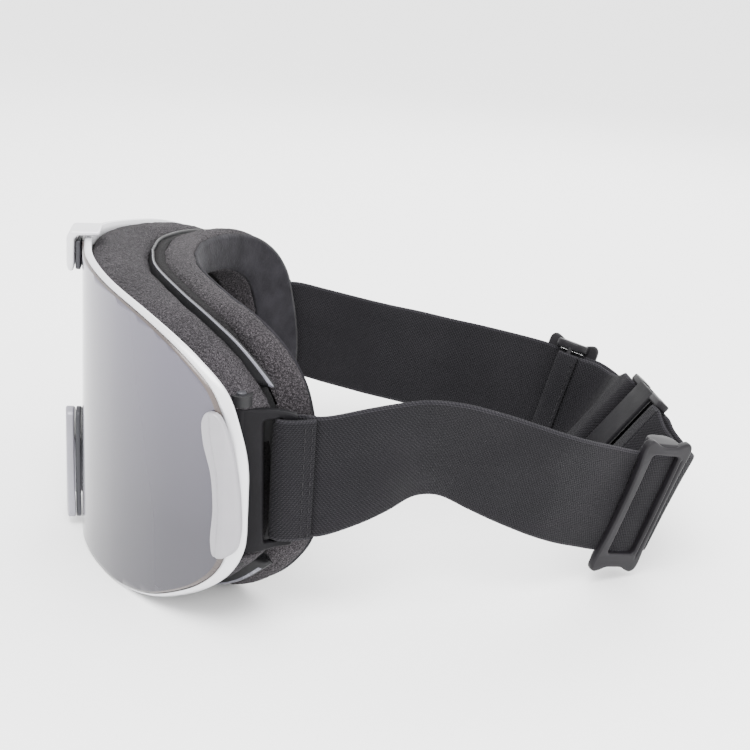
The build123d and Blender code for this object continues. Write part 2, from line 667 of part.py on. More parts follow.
for side, name in ((1, "left"), (-1, "right")):
    sl = slider(side)
    sl.label = name + "_slider"
    export_step(sl, "parts/" + name + "_slider.step")
    se = sewn_end(side)
    se.label = name + "_sewn_end"
    export_step(se, "parts/" + name + "_sewn_end.step")


# -------------------------------------------------------------- rear buckle
def prism(profile, v0, v1):
    """Profile in the buckle's (run, outward) plane, pulled along its height."""
    with BuildPart() as p:
        with BuildSketch(Plane(origin=pt(*at_buckle(0, v0, 0)), x_dir=BU, z_dir=tuple(-c for c in BV))):
            with BuildLine():
                Polyline(*profile, close=True)
            make_face()
        extrude(amount=-(v1 - v0))
    return p.part


H2 = BUCKLE_H / 2
catch_pieces = [
    # channel plate with an upstand at its far edge
    prism([(-9.0, -3.2), (6.0, -3.2), (6.0, 0.9), (4.4, 0.9), (4.4, -1.5), (-9.0, -1.5)], -H2, H2),
    # strap bar and its two arms
    prism([(-17.4, -1.2), (-14.2, -1.2), (-14.2, 1.2), (-17.4, 1.2)], -H2, H2),
    prism([(-17.4, -3.2), (-7.6, -3.2), (-7.6, 1.4), (-17.4, 1.4)], H2 - 2.4, H2),
    prism([(-17.4, -3.2), (-7.6, -3.2), (-7.6, 1.4), (-17.4, 1.4)], -H2, -H2 + 2.4),
]
hook_pieces = [
    # cover plate with a lip that drops behind the catch's upstand
    prism([(-6.0, 1.4), (9.0, 1.4), (9.0, 3.2), (-6.0, 3.2)], -H2, H2),
    prism([(2.4, -1.1), (4.0, -1.1), (4.0, 1.5), (2.4, 1.5)], -H2, H2),
    prism([(14.2, -1.2), (17.4, -1.2), (17.4, 1.2), (14.2, 1.2)], -H2, H2),
    prism([(7.6, -1.4), (17.4, -1.4), (17.4, 3.2), (7.6, 3.2)], H2 - 2.4, H2),
    prism([(7.6, -1.4), (17.4, -1.4), (17.4, 3.2), (7.6, 3.2)], -H2, -H2 + 2.4),
]
with BuildPart() as buckle_catch:
    add(catch_pieces)
buckle_catch.part.label = "buckle_catch"
export_step(buckle_catch.part, "parts/buckle_catch.step")
with BuildPart() as buckle_hook:
    add(hook_pieces)
buckle_hook.part.label = "buckle_hook"
export_step(buckle_hook.part, "parts/buckle_hook.step")

# webbing turned round each buckle bar
LOOP = [(-20.6, -3.2), (-14.0, -3.2), (-12.2, -2.2), (-11.6, 0.0), (-12.2, 2.2), (-14.0, 3.2), (-20.6, 3.2)]
HOLE = [(-21.6, -1.6), (-14.4, -1.6), (-13.6, -1.2), (-13.3, 0.0), (-13.6, 1.2), (-14.4, 1.6), (-21.6, 1.6)]
for side, name in ((1, "left"), (-1, "right")):
    ring = prism([(side * x, y) for x, y in LOOP], -WEB_W / 2, WEB_W / 2)
    hole = prism([(side * x, y) for x, y in HOLE], -WEB_W / 2 - 1, WEB_W / 2 + 1)
    with BuildPart() as buckle_loop:
        add(ring)
        add(hole, mode=Mode.SUBTRACT)
    buckle_loop.part.label = name + "_buckle_loop"
    export_step(buckle_loop.part, "parts/" + name + "_buckle_loop.step")
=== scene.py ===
import bpy, bmesh, math
import numpy as np
from mathutils import Matrix, Vector, noise


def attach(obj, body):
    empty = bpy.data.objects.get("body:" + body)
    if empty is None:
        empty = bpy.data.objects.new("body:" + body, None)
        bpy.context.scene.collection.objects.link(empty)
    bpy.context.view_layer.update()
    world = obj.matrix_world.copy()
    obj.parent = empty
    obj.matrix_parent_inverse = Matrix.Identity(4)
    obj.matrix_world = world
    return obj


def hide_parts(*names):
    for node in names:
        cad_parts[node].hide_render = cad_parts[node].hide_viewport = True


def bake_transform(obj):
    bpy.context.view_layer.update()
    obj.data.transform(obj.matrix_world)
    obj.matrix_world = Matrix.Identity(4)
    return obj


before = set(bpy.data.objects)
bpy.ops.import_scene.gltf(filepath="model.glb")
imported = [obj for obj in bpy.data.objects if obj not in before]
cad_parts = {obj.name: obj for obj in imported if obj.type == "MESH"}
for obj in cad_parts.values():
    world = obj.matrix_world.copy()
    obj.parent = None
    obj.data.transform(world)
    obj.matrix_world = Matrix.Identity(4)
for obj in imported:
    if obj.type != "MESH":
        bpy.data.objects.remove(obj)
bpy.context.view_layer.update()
BY, BZ = -26.02, 66.0        # strap datum to the part's origin, mm
SIDES = ((1, "left"), (-1, "right"))
sc = bpy.context.scene
COL = sc.collection


def P(p):
    a = np.asarray(p, float)
    return (a + np.array([0.0, BY, BZ])) / 1000.0


# ------------------------------------------------------------------ materials
class Mat:
    def __init__(self, name):
        self.m = bpy.data.materials.new(name)
        self.m.use_nodes = True
        self.t = self.m.node_tree
        self.n = self.t.nodes
        self.b = self.n["Principled BSDF"]

    def node(self, kind, **kw):
        x = self.n.new(kind)
        for k, v in kw.items():
            if k in ("operation", "blend_type", "feature", "distance", "noise_dimensions", "data_type",
                     "vector_type", "wave_type", "bands_direction", "wave_profile", "invert"):
                setattr(x, k, v)
            else:
                x.inputs[k.replace("_", " ")].default_value = v
        return x

    def link(self, a, b):
        self.t.links.new(a, b)

    def obj(self):
        return self.n.get("tc") or self._tc()

    def _tc(self):
        x = self.n.new("ShaderNodeTexCoord")
        x.name = "tc"
        return x

    def noise(self, scale, detail=4.0, rough=0.55, vec=None):
        x = self.n.new("ShaderNodeTexNoise")
        x.inputs["Scale"].default_value = scale
        x.inputs["Detail"].default_value = detail
        x.inputs["Roughness"].default_value = rough
        self.link(vec or self.obj().outputs["Object"], x.inputs["Vector"])
        return x.outputs["Fac"]

    def ramp(self, fac, stops):
        x = self.n.new("ShaderNodeValToRGB")
        el = x.color_ramp.elements
        while len(el) < len(stops):
            el.new(0.5)
        for e, (p, c) in zip(el, stops):
            e.position = p
            e.color = (*c, 1) if len(c) == 3 else c
        self.link(fac, x.inputs["Fac"])
        return x.outputs["Color"]

    def rng(self, fac, a, b, c, d):
        x = self.n.new("ShaderNodeMapRange")
        for k, v in zip(("From Min", "From Max", "To Min", "To Max"), (a, b, c, d)):
            x.inputs[k].default_value = v
        self.link(fac, x.inputs["Value"])
        return x.outputs["Result"]

    def math(self, op, a, b=None):
        x = self.n.new("ShaderNodeMath")
        x.operation = op
        for i, v in enumerate((a, b)):
            if v is None:
                continue
            if isinstance(v, (int, float)):
                x.inputs[i].default_value = v
            else:
                self.link(v, x.inputs[i])
        return x.outputs[0]

    def bump(self, height, strength, dist, normal=None):
        x = self.n.new("ShaderNodeBump")
        x.inputs["Strength"].default_value = strength
        x.inputs["Distance"].default_value = dist
        self.link(height, x.inputs["Height"])
        if normal:
            self.link(normal, x.inputs["Normal"])
        return x.outputs["Normal"]

    def set(self, **kw):
        for k, v in kw.items():
            self.b.inputs[k.replace("_", " ")].default_value = v
        return self


def plastic(name, dark, light, rough, metallic=0.0, grain=1400.0, strength=0.10, coat=0.0, spec=0.5):
    """Moulded or lacquered plastic: slight mottling, spark-eroded grain, worn sheen."""
    m = Mat(name)
    big = m.noise(38.0, 3.0)
    m.link(m.ramp(big, [(0.30, dark), (0.72, light)]), m.b.inputs["Base Color"])
    m.link(m.rng(m.noise(120.0, 5.0), 0.3, 0.7, rough - 0.06, rough + 0.07), m.b.inputs["Roughness"])
    m.link(m.bump(m.noise(grain, 2.0), strength, 0.0002), m.b.inputs["Normal"])
    m.set(Metallic=metallic, Coat_Weight=coat, Coat_Roughness=0.18, Specular_IOR_Level=spec)
    return m.m


def foam(name, dark, mid, fleck_and_strut_highlight, cell, strength, sheen=0.25):
    """Open-cell foam: voronoi cells in the bump; colour shares noise with the bump, so pits get painted shade and
    raised struts painted highlight; real pale specks.
    """
    m = Mat(name)
    v = m.n.new("ShaderNodeTexVoronoi")
    v.feature = "F1"
    v.inputs["Scale"].default_value = cell
    m.link(m.obj().outputs["Object"], v.inputs["Vector"])
    n1 = m.noise(cell * 0.9, 4.0, 0.7)
    n2 = m.noise(cell * 2.3, 2.0, 0.6)
    broad = m.noise(22.0, 2.0)
    h = m.math("ADD", m.math("MULTIPLY", v.outputs["Distance"], 0.9), m.math("MULTIPLY", n1, 1.0))
    # painted shade and highlight: n1 also sets the bump height, so the tone darkens in the low pits and lightens on the
    # raised struts
    tone = m.math("ADD", m.math("MULTIPLY", n2, 0.62), m.math("MULTIPLY", n1, 0.38))
    tone = m.math("ADD", tone, m.math("MULTIPLY", m.math("SUBTRACT", broad, 0.5), 0.12))
    m.link(m.ramp(tone, [(0.36, dark), (0.50, mid), (0.63, fleck_and_strut_highlight)]), m.b.inputs["Base Color"])
    m.link(m.bump(h, strength, 0.0007), m.b.inputs["Normal"])
    m.set(Roughness=0.95, Specular_IOR_Level=0.08, Sheen_Weight=sheen, Sheen_Roughness=0.6)
    return m.m


def fleece_mat():
    m = Mat("fleece_black")
    fine = m.noise(900.0, 3.0, 0.7)
    soft = m.noise(140.0, 4.0)
    m.link(m.ramp(soft, [(0.30, (0.0095, 0.0090, 0.0108)), (0.70, (0.0190, 0.0180, 0.0212))]), m.b.inputs["Base Color"])
    m.link(m.bump(m.math("ADD", fine, m.math("MULTIPLY", soft, 0.6)), 0.55, 0.0005), m.b.inputs["Normal"])
    m.set(Roughness=0.93, Specular_IOR_Level=0.08, Sheen_Weight=0.04, Sheen_Roughness=0.45)
    return m.m


def webbing_mat(name="webbing_black", brightness_scale=1.0):
    """Narrow elastic: fine rows along the strap crossed by a diagonal twill (UV in mm)."""
    m = Mat(name)
    uv = m.n.new("ShaderNodeUVMap")
    uv.uv_map = "mm"
    sep = m.n.new("ShaderNodeSeparateXYZ")
    m.link(uv.outputs["UV"], sep.inputs[0])
    u, v = sep.outputs["X"], sep.outputs["Y"]
    tau = 2 * math.pi
    wob = m.math("MULTIPLY", m.noise(260.0, 2.0), 0.9)
    rows = m.math("SINE", m.math("MULTIPLY", v, tau / 0.62))
    diag = m.math("SINE", m.math("ADD", m.math("MULTIPLY", m.math("ADD", m.math("MULTIPLY", u, 1.0),
                  m.math("MULTIPLY", v, 0.75)), tau / 1.05), wob))
    cross = m.math("SINE", m.math("MULTIPLY", u, tau / 0.74))
    weave = m.math("ADD", m.math("MULTIPLY", rows, 0.45), m.math("ADD", m.math("MULTIPLY", diag, 0.42),
                   m.math("MULTIPLY", m.math("MULTIPLY", rows, cross), 0.35)))
    fuzz = m.noise(1500.0, 3.0, 0.7)
    weave = m.math("ADD", weave, m.math("MULTIPLY", fuzz, 0.7))
    tone = m.math("ADD", m.math("MULTIPLY", m.rng(weave, -1.0, 1.6, 0.0, 1.0), 0.66),
                  m.math("MULTIPLY", m.noise(30.0, 3.0), 0.34))
    t = brightness_scale
    m.link(m.ramp(tone, [(0.18, (0.010 * t, 0.0095 * t, 0.0115 * t)), (0.55, (0.024 * t, 0.0228 * t, 0.027 * t)),
                         (0.86, (0.062 * t, 0.058 * t, 0.064 * t))]), m.b.inputs["Base Color"])
    m.link(m.bump(weave, 0.75, 0.00022), m.b.inputs["Normal"])
    m.set(Roughness=0.88, Specular_IOR_Level=0.10, Sheen_Weight=0.02, Sheen_Roughness=0.5)
    return m.m


def lens_mat():
    """Smoke-grey, semi-mirrored sheet; the base colour grows lighter towards the top, a painted reflection of the
    bright surroundings.
    """
    m = Mat("lens_smoke")
    sep = m.n.new("ShaderNodeSeparateXYZ")
    m.link(m.obj().outputs["Object"], sep.inputs[0])
    # painted reflection: the base colour ramps from the bottom to the top of the lens, lighter at the top
    g = m.rng(sep.outputs["Z"], 0.0, 0.095, 0.0, 1.0)
    g = m.math("ADD", g, m.math("MULTIPLY", m.math("SUBTRACT", m.noise(9.0, 1.5), 0.5), 0.22))
    m.link(m.ramp(g, [(0.0, (0.070, 0.068, 0.077)), (0.35, (0.066, 0.064, 0.074)), (0.62, (0.080, 0.077, 0.092)),
                      (1.0, (0.108, 0.102, 0.128))]), m.b.inputs["Base Color"])
    m.link(m.rng(m.noise(60.0, 3.0), 0.3, 0.7, 0.09, 0.15), m.b.inputs["Roughness"])
    m.set(Metallic=0.6, Specular_IOR_Level=0.3, Coat_Weight=0.06, Coat_Roughness=0.06)
    return m.m


def k3(k, *c):
    return tuple(k * x for x in c)


M_LENS = lens_mat()
M_LENSEDGE = plastic("lens_edge_bronze", (0.040, 0.030, 0.028), (0.085, 0.068, 0.062), 0.25, 0.2, coat=0.3)
M_SILVER = plastic("silver_satin", (0.58, 0.58, 0.60), (0.68, 0.68, 0.70), 0.36, 0.35, 2200.0, 0.05, coat=0.2)
M_BRACKET = plastic("silver_matte", (0.235, 0.228, 0.245), (0.30, 0.292, 0.31), 0.44, 0.3, 2600.0, 0.10, coat=0.1)
M_CLIP = plastic("silver_clip", (0.20, 0.195, 0.225), (0.27, 0.265, 0.30), 0.38, 0.4, 2200.0, 0.06, coat=0.15)
M_CATCH = plastic("catch_grey", (0.020, 0.020, 0.023), (0.042, 0.042, 0.048), 0.42, 0.2, spec=0.3)
M_BLACK = plastic("nylon_black", (0.0030, 0.0028, 0.0034), (0.0062, 0.0058, 0.0070), 0.50, 0.0, 1700.0, 0.16, spec=0.09)
M_GREYBLACK = plastic("nylon_slider", (0.0060, 0.0055, 0.0066), (0.0115, 0.0106, 0.0124), 0.42, 0.0, 1700.0, 0.10, spec=0.14)
M_CHASSIS = plastic("chassis_black", (0.004, 0.004, 0.0045), (0.008, 0.008, 0.009), 0.5, spec=0.25)
M_FLANGE = plastic("flange_gloss", (0.10, 0.10, 0.12), (0.17, 0.17, 0.20), 0.24, 0.3, coat=0.3)
M_GASKET = plastic("gasket_rubber", (0.004, 0.004, 0.004), (0.008, 0.008, 0.008), 0.7, spec=0.2)
M_VENT = foam("vent_foam", (0.0045, 0.0040, 0.0046), (0.0200, 0.0180, 0.0205), (0.075, 0.068, 0.074), 1500.0, 1.0, sheen=0.03)
M_FACE = foam("face_foam", (0.0045, 0.0040, 0.0046), (0.0210, 0.0190, 0.0212), (0.080, 0.072, 0.078), 1500.0, 1.0, sheen=0.03)
# base foam: colour several times darker than the face foam, painted shade for the shadowed band where the foam
# overhangs the flange; its softer bump is the layer's own
M_BASE = foam("base_foam", (0.0022, 0.0020, 0.0023), (0.006, 0.0055, 0.006), (0.016, 0.015, 0.016), 1500.0, 0.35, sheen=0.02)
M_FLEECE = fleece_mat()
M_WEB = webbing_mat("webbing_black", 0.36)
# selvedges and strap ends: same weave at almost twice the brightness, a painted highlight for the light caught by the
# rounded edges
M_EDGE = webbing_mat("webbing_edge", 0.62)
M_THREAD = plastic("thread_black", (0.007, 0.0065, 0.0075), (0.016, 0.015, 0.017), 0.7, spec=0.2)


# ------------------------------------------------------------------ mesh help
def make(name, verts, faces, mat, smooth=True, sub=0, uv=None, mats=None, fmat=None):
    me = bpy.data.meshes.new(name)
    me.from_pydata([tuple(v) for v in verts], [], faces)
    me.validate()
    for m in (mats or [mat]):
        me.materials.append(m)
    if fmat is not None:
        me.polygons.foreach_set("material_index", np.asarray(fmat, np.int32))
    if uv is not None:
        lay = me.uv_layers.new(name="mm")
        idx = np.zeros(len(me.loops), np.int32)
        me.loops.foreach_get("vertex_index", idx)
        lay.data.foreach_set("uv", np.asarray(uv, float)[idx].ravel())
    bm = bmesh.new()
    bm.from_mesh(me)
    bmesh.ops.recalc_face_normals(bm, faces=bm.faces)
    bm.to_mesh(me)
    bm.free()
    if smooth:
        me.polygons.foreach_set("use_smooth", [True] * len(me.polygons))
    o = bpy.data.objects.new(name, me)
    COL.objects.link(o)
    if sub:
        s = o.modifiers.new("sub", "SUBSURF")
        s.levels = s.render_levels = sub
    return o


def catmull(pts, n=400, closed=False):
    """Dense centripetal Catmull-Rom curve through pts, evenly spaced."""
    p = np.asarray(pts, float)
    if closed:
        q = np.vstack([p[-1], p, p[:2]])
    else:
        q = np.vstack([2 * p[0] - p[1], p, 2 * p[-1] - p[-2]])
    out = []
    for i in range(1, len(q) - 2):
        p0, p1, p2, p3 = q[i - 1:i + 3]
        t0 = 0.0
        t1 = t0 + max(np.linalg.norm(p1 - p0), 1e-9) ** 0.5
        t2 = t1 + max(np.linalg.norm(p2 - p1), 1e-9) ** 0.5
        t3 = t2 + max(np.linalg.norm(p3 - p2), 1e-9) ** 0.5
        for t in np.linspace(t1, t2, 24, endpoint=False):
            a1 = (t1 - t) / (t1 - t0) * p0 + (t - t0) / (t1 - t0) * p1
            a2 = (t2 - t) / (t2 - t1) * p1 + (t - t1) / (t2 - t1) * p2
            a3 = (t3 - t) / (t3 - t2) * p2 + (t - t2) / (t3 - t2) * p3
            b1 = (t2 - t) / (t2 - t0) * a1 + (t - t0) / (t2 - t0) * a2
            b2 = (t3 - t) / (t3 - t1) * a2 + (t - t1) / (t3 - t1) * a3
            out.append((t2 - t) / (t2 - t1) * b1 + (t - t1) / (t2 - t1) * b2)
    out.append(q[-2])
    return resample(np.array(out), n)


def resample(c, n):
    d = np.r_[0, np.cumsum(np.linalg.norm(np.diff(c, axis=0), axis=1))]
    s = np.linspace(0, d[-1], n)
    return np.stack([np.interp(s, d, c[:, i]) for i in range(c.shape[1])], 1)


# ----------------------------------------------------------- shape of the mask
LENS_PLAN = [(0, -73), (25, -70), (49, -60.5), (70, -46.5), (83, -34), (91, -24.5), (97.5, -15.5)]
FLANGE_PLAN = [(0, -51.5), (20, -49.5), (45, -40), (60, -31), (70, -22), (76, -15), (80, -8), (82.5, -1)]
REAR_PLAN = [(0, -35), (18, -33), (40, -25), (53, -17), (62, -9), (67, -3), (71, 3), (74, 9)]
LENS_OUT = ([(0, 32.5), (20, 31.4), (40, 29), (60, 25.6), (72, 21.4), (80, 16.2), (86, 10), (89, 1.5),
             (90.6, -11), (91.0, -24), (90.6, -36), (88.6, -44), (84.5, -50.5), (78, -56.4), (69, -61.8), (56, -65.2),
             (43, -65.9), (30, -65.4), (19, -64), (12.5, -58.5), (8.5, -48), (4.5, -38.5), (0, -35.5)], 9, 16)
BEZEL_IN = ([(0, 25), (20, 24), (40, 21.5), (58, 18), (69, 13.5), (77, 6), (81.5, -3), (83.5, -14), (84, -24),
             (83, -34), (80, -41), (75, -46.5), (67, -51.5), (56, -55), (43, -56), (33, -55), (26, -50),
             (20, -42), (14, -33), (7, -27.5), (0, -26)], 8, 14)
CHASSIS_OUT = ([(0, 30), (20, 29.4), (42, 27.4), (58, 24.4), (69, 19.6), (77, 12), (81, 3), (83, -8), (84, -22),
                (83, -38), (80, -47), (74, -55), (66, -60.6), (55, -64.6), (43, -65.6), (31, -64.6), (22, -58.5),
                (16.5, -48), (10, -37.5), (0, -33)], 8, 14)
CHASSIS_WALL = ([(0, 23), (20, 22.4), (42, 20.6), (56, 17.6), (65, 13.4), (71.5, 6.5), (74.5, -1), (76, -10),
                 (76.5, -22), (76, -36), (73, -43.5), (68, -49.5), (61, -54), (53, -57), (43, -58), (34, -56.4),
                 (27.5, -50), (21.5, -40.5), (12, -30.5), (0, -26.6)], 8, 14)
CHASSIS_IN = ([(0, 20.2), (20, 19.6), (41, 17.9), (54.5, 15), (63, 11), (69, 4.8), (71.8, -2), (73.2, -11),
               (73.7, -22), (73.2, -35), (70.4, -42), (66, -47.3), (59.6, -51.4), (52.4, -54.2), (43, -55.2),
               (35.6, -53.8), (29.8, -48.2), (23.6, -38.6), (13.2, -28), (0, -23.8)], 8, 14)
FACE_OUT = ([(0, 29.4), (20, 29), (42, 27), (57, 23.2), (65, 17), (69.6, 8), (72, -5), (73.4, -22), (73, -38),
             (71, -47), (66, -56.5), (58, -63.4), (47, -66), (37, -64.6), (28.5, -57.5), (22, -46.5),
             (13, -36), (0, -31.5)], 7, 12)
FACE_IN = ([(0, 15.6), (20, 15.2), (38, 13.4), (49, 10), (55, 5), (58, -2), (59.6, -12), (60, -24), (59, -36),
            (56.6, -43.5), (52, -49), (46.5, -50.5), (41, -47), (34.6, -38), (27, -28), (15, -19.5), (0, -16)], 7, 11)
FLANGE_OUT = ([(0, 29.8), (20, 29.4), (43, 27.3), (59, 23.8), (69, 18.4), (76, 10.6), (79.6, 1), (81, -10),
               (81.5, -24), (80.6, -40), (77, -49), (71, -57), (62, -62.8), (50, -65.7), (38, -65), (28, -58.6),
               (21.4, -47.4), (12.4, -36.6), (0, -32.2)], 8, 13)
FLANGE_IN = ([(0, 17), (20, 16.6), (38, 14.8), (51, 11), (58, 5.6), (62, -2), (64, -12), (64.5, -24), (63.4, -36),
              (60.4, -44.5), (54.5, -50.6), (47, -52.4), (40.6, -49), (33.6, -40), (26, -30), (14.6, -21),
              (0, -17.4)], 7, 11)


def outline(spec, n):
    """Closed outline (x, z), 2n points, matched to the other outlines by landmarks."""
    pts, a, b = spec
    full = [(-x, z) for x, z in pts[1:3]][::-1] + list(pts) + [(-x, z) for x, z in pts[-3:-1]][::-1]
    p = np.asarray(full, float)
    c = []
    marks = []
    for i in range(2, len(full) - 3):
        p0, p1, p2, p3 = p[i - 1:i + 3]
        t = np.linspace(0, 1, 24, endpoint=False)[:, None]
        # centripetal tangents
        d01, d12, d23 = (max(np.linalg.norm(x), 1e-6) ** 0.5 for x in (p1 - p0, p2 - p1, p3 - p2))
        m1 = d12 * ((p1 - p0) / d01 - (p2 - p0) / (d01 + d12) + (p2 - p1) / d12)
        m2 = d12 * ((p2 - p1) / d12 - (p3 - p1) / (d12 + d23) + (p3 - p2) / d23)
        marks.append(len(c))
        h = (2 * t ** 3 - 3 * t ** 2 + 1) * p1 + (t ** 3 - 2 * t ** 2 + t) * m1 + (-2 * t ** 3 + 3 * t ** 2) * p2 + (t ** 3 - t ** 2) * m2
        c.extend(h)
    c.append(p[len(full) - 3])
    c = np.array(c)
    ia, ib = a * 24, b * 24
    na, nb = int(n * 0.40), int(n * 0.70)
    # near-even spacing, landmark matched with a smooth parameter
    s1 = resample(c[:ia + 1], na + 1)[:-1]
    s2 = resample(c[ia:ib + 1], nb - na + 1)[:-1]
    s3 = resample(c[ib:], n - nb + 1)
    half = np.vstack([s1, s2, s3])                       # n + 1 points, top to nose
    left = half[1:-1][::-1] * np.array([-1, 1])
    return np.vstack([half, left])                       # 2n points


def out_offset(o, d):
    """Outline moved d outwards in its own plane."""
    t = np.roll(o, -1, 0) - np.roll(o, 1, 0)
    t /= np.linalg.norm(t, axis=1)[:, None]
    nrm = np.stack([-t[:, 1], t[:, 0]], 1)
    # outlines run clockwise from the top towards +X, so this normal points out
    k = np.ones(9) / 9
    for j in range(2):
        nrm[:, j] = np.convolve(np.r_[nrm[-4:, j], nrm[:, j], nrm[:4, j]], k, "valid")
    nrm /= np.linalg.norm(nrm, axis=1)[:, None]
    return o + nrm * (np.asarray(d).reshape(-1, 1) if np.ndim(d) else d)


def plan_shift(points, d):
    c = catmull(points, 300)
    t = np.gradient(c, axis=0)
    t /= np.linalg.norm(t, axis=1)[:, None]
    t[0] = (1, 0)
    return np.stack([c[:, 0] - t[:, 1] * d, c[:, 1] + t[:, 0] * d], 1)


def plan_y(curve, x, cap=None):
    ax = np.abs(x)
    y = np.interp(ax, curve[:, 0], curve[:, 1])
    over = ax > curve[-1, 0]
    sl = (curve[-1, 1] - curve[-12, 1]) / (curve[-1, 0] - curve[-12, 0])
    y = np.where(over, curve[-1, 1] + (ax - curve[-1, 0]) * sl, y)
    if cap is not None:
        y = np.minimum(y, cap)
    return y


def ring(o, curve, cap=None, dy=0.0):
    return np.stack([o[:, 0], plan_y(curve, o[:, 0], cap) + dy, o[:, 1]], 1)


def smoothring(r, k):
    """Light smoothing along the ring (k passes)."""
    for _ in range(k):
        r = 0.25 * np.roll(r, 1, 0) + 0.5 * r + 0.25 * np.roll(r, -1, 0)
    return r


def blend_section(rings, per, closed=True):
    """Cross-section curve through the given rings at every station, resampled to per points."""
    R = np.stack(rings, 0)                               # k, n, 3
    k, n, _ = R.shape
    out = np.zeros((per, n, 3))
    for i in range(n):
        c = catmull(R[:, i], per + (1 if closed else 0), closed=False) if not closed else catmull_closed(R[:, i], per)
        out[:, i] = c[:per]
    return out


def catmull_closed(p, n):
    q = np.vstack([p[-1], p, p[0], p[1]])
    t = np.linspace(0, 1, 10, endpoint=False)[:, None]
    out = []
    for i in range(1, len(q) - 2):
        p0, p1, p2, p3 = q[i - 1:i + 3]
        d01, d12, d23 = (max(np.linalg.norm(x), 1e-6) ** 0.5 for x in (p1 - p0, p2 - p1, p3 - p2))
        m1 = d12 * ((p1 - p0) / d01 - (p2 - p0) / (d01 + d12) + (p2 - p1) / d12)
        m2 = d12 * ((p2 - p1) / d12 - (p3 - p1) / (d12 + d23) + (p3 - p2) / d23)
        out.append((2 * t ** 3 - 3 * t ** 2 + 1) * p1 + (t ** 3 - 2 * t ** 2 + t) * m1 +
                   (-2 * t ** 3 + 3 * t ** 2) * p2 + (t ** 3 - t ** 2) * m2)
    c = np.vstack(out + [q[1][None]])
    return resample(c, n + 1)[:n]


def torus_mesh(name, R, mat, sub=0, cut=None):
    """R: (k, n, 3) rings; closed both ways."""
    k, n, _ = R.shape
    v = P(R.reshape(-1, 3))
    f = []
    for i in range(k):
        a, b = i * n, ((i + 1) % k) * n
        for j in range(n):
            j2 = (j + 1) % n
            f.append((a + j, a + j2, b + j2, b + j))
    return make(name, v, f, mat, sub=sub)


def displace(o, amp, scale, seed=0.0, fine=0.0, fscale=1.0):
    """Moves vertices along their normals by smooth noise, sizes in mm."""
    me = o.data
    n = len(me.vertices)
    co = np.zeros(n * 3)
    no = np.zeros(n * 3)
    me.vertices.foreach_get("co", co)
    me.vertices.foreach_get("normal", no)
    co = co.reshape(-1, 3)
    no = no.reshape(-1, 3)
    d = np.zeros(n)
    for i in range(n):
        v = Vector(co[i]) * 1000.0
        d[i] = amp * noise.noise(v * (1 / scale) + Vector((seed, 0, 0)))
        if fine:
            d[i] += fine * noise.noise(v * (1 / fscale) + Vector((0, seed, 7)))
    me.vertices.foreach_set("co", (co + no * d[:, None] / 1000.0).ravel())
    me.update()


def ease(x, a, b):
    t = np.clip((x - a) / (b - a), 0, 1)
    return t * t * (3 - 2 * t)


N = 320                                                   # half-ring stations
o_lens, o_bin = outline(LENS_OUT, N), outline(BEZEL_IN, N)
o_cout, o_cwall, o_cin = outline(CHASSIS_OUT, N), outline(CHASSIS_WALL, N), outline(CHASSIS_IN, N)
o_fout, o_fin = outline(FACE_OUT, N), outline(FACE_IN, N)
o_flout, o_flin = outline(FLANGE_OUT, N), outline(FLANGE_IN, N)
P_L = {d: plan_shift(LENS_PLAN, d) for d in (0.0, 0.3, 0.6, 1.0, 1.4, 1.7, 2.0, 2.1, 2.6, 4.4, 6.0, 6.7, 7.0, 8.2, 8.3, 8.5, -2.6, 0.8, 2.3, 2.9, 3.0, 3.3, 3.2, 4.2, 4.7, 5.1, 5.7, 6.05)}
P_F = {d: plan_shift(FLANGE_PLAN, d) for d in (-6.0, -3.0, -1.0, -0.1, 0.0, 0.9, 1.2, 1.6, 1.8, 1.9, 2.0, 5.2, 5.3)}
P_R = {d: plan_shift(REAR_PLAN, d) for d in (-12.0, -8.0, -5.0, -3.0, -1.6, -1.5, -0.8, 0.0)}


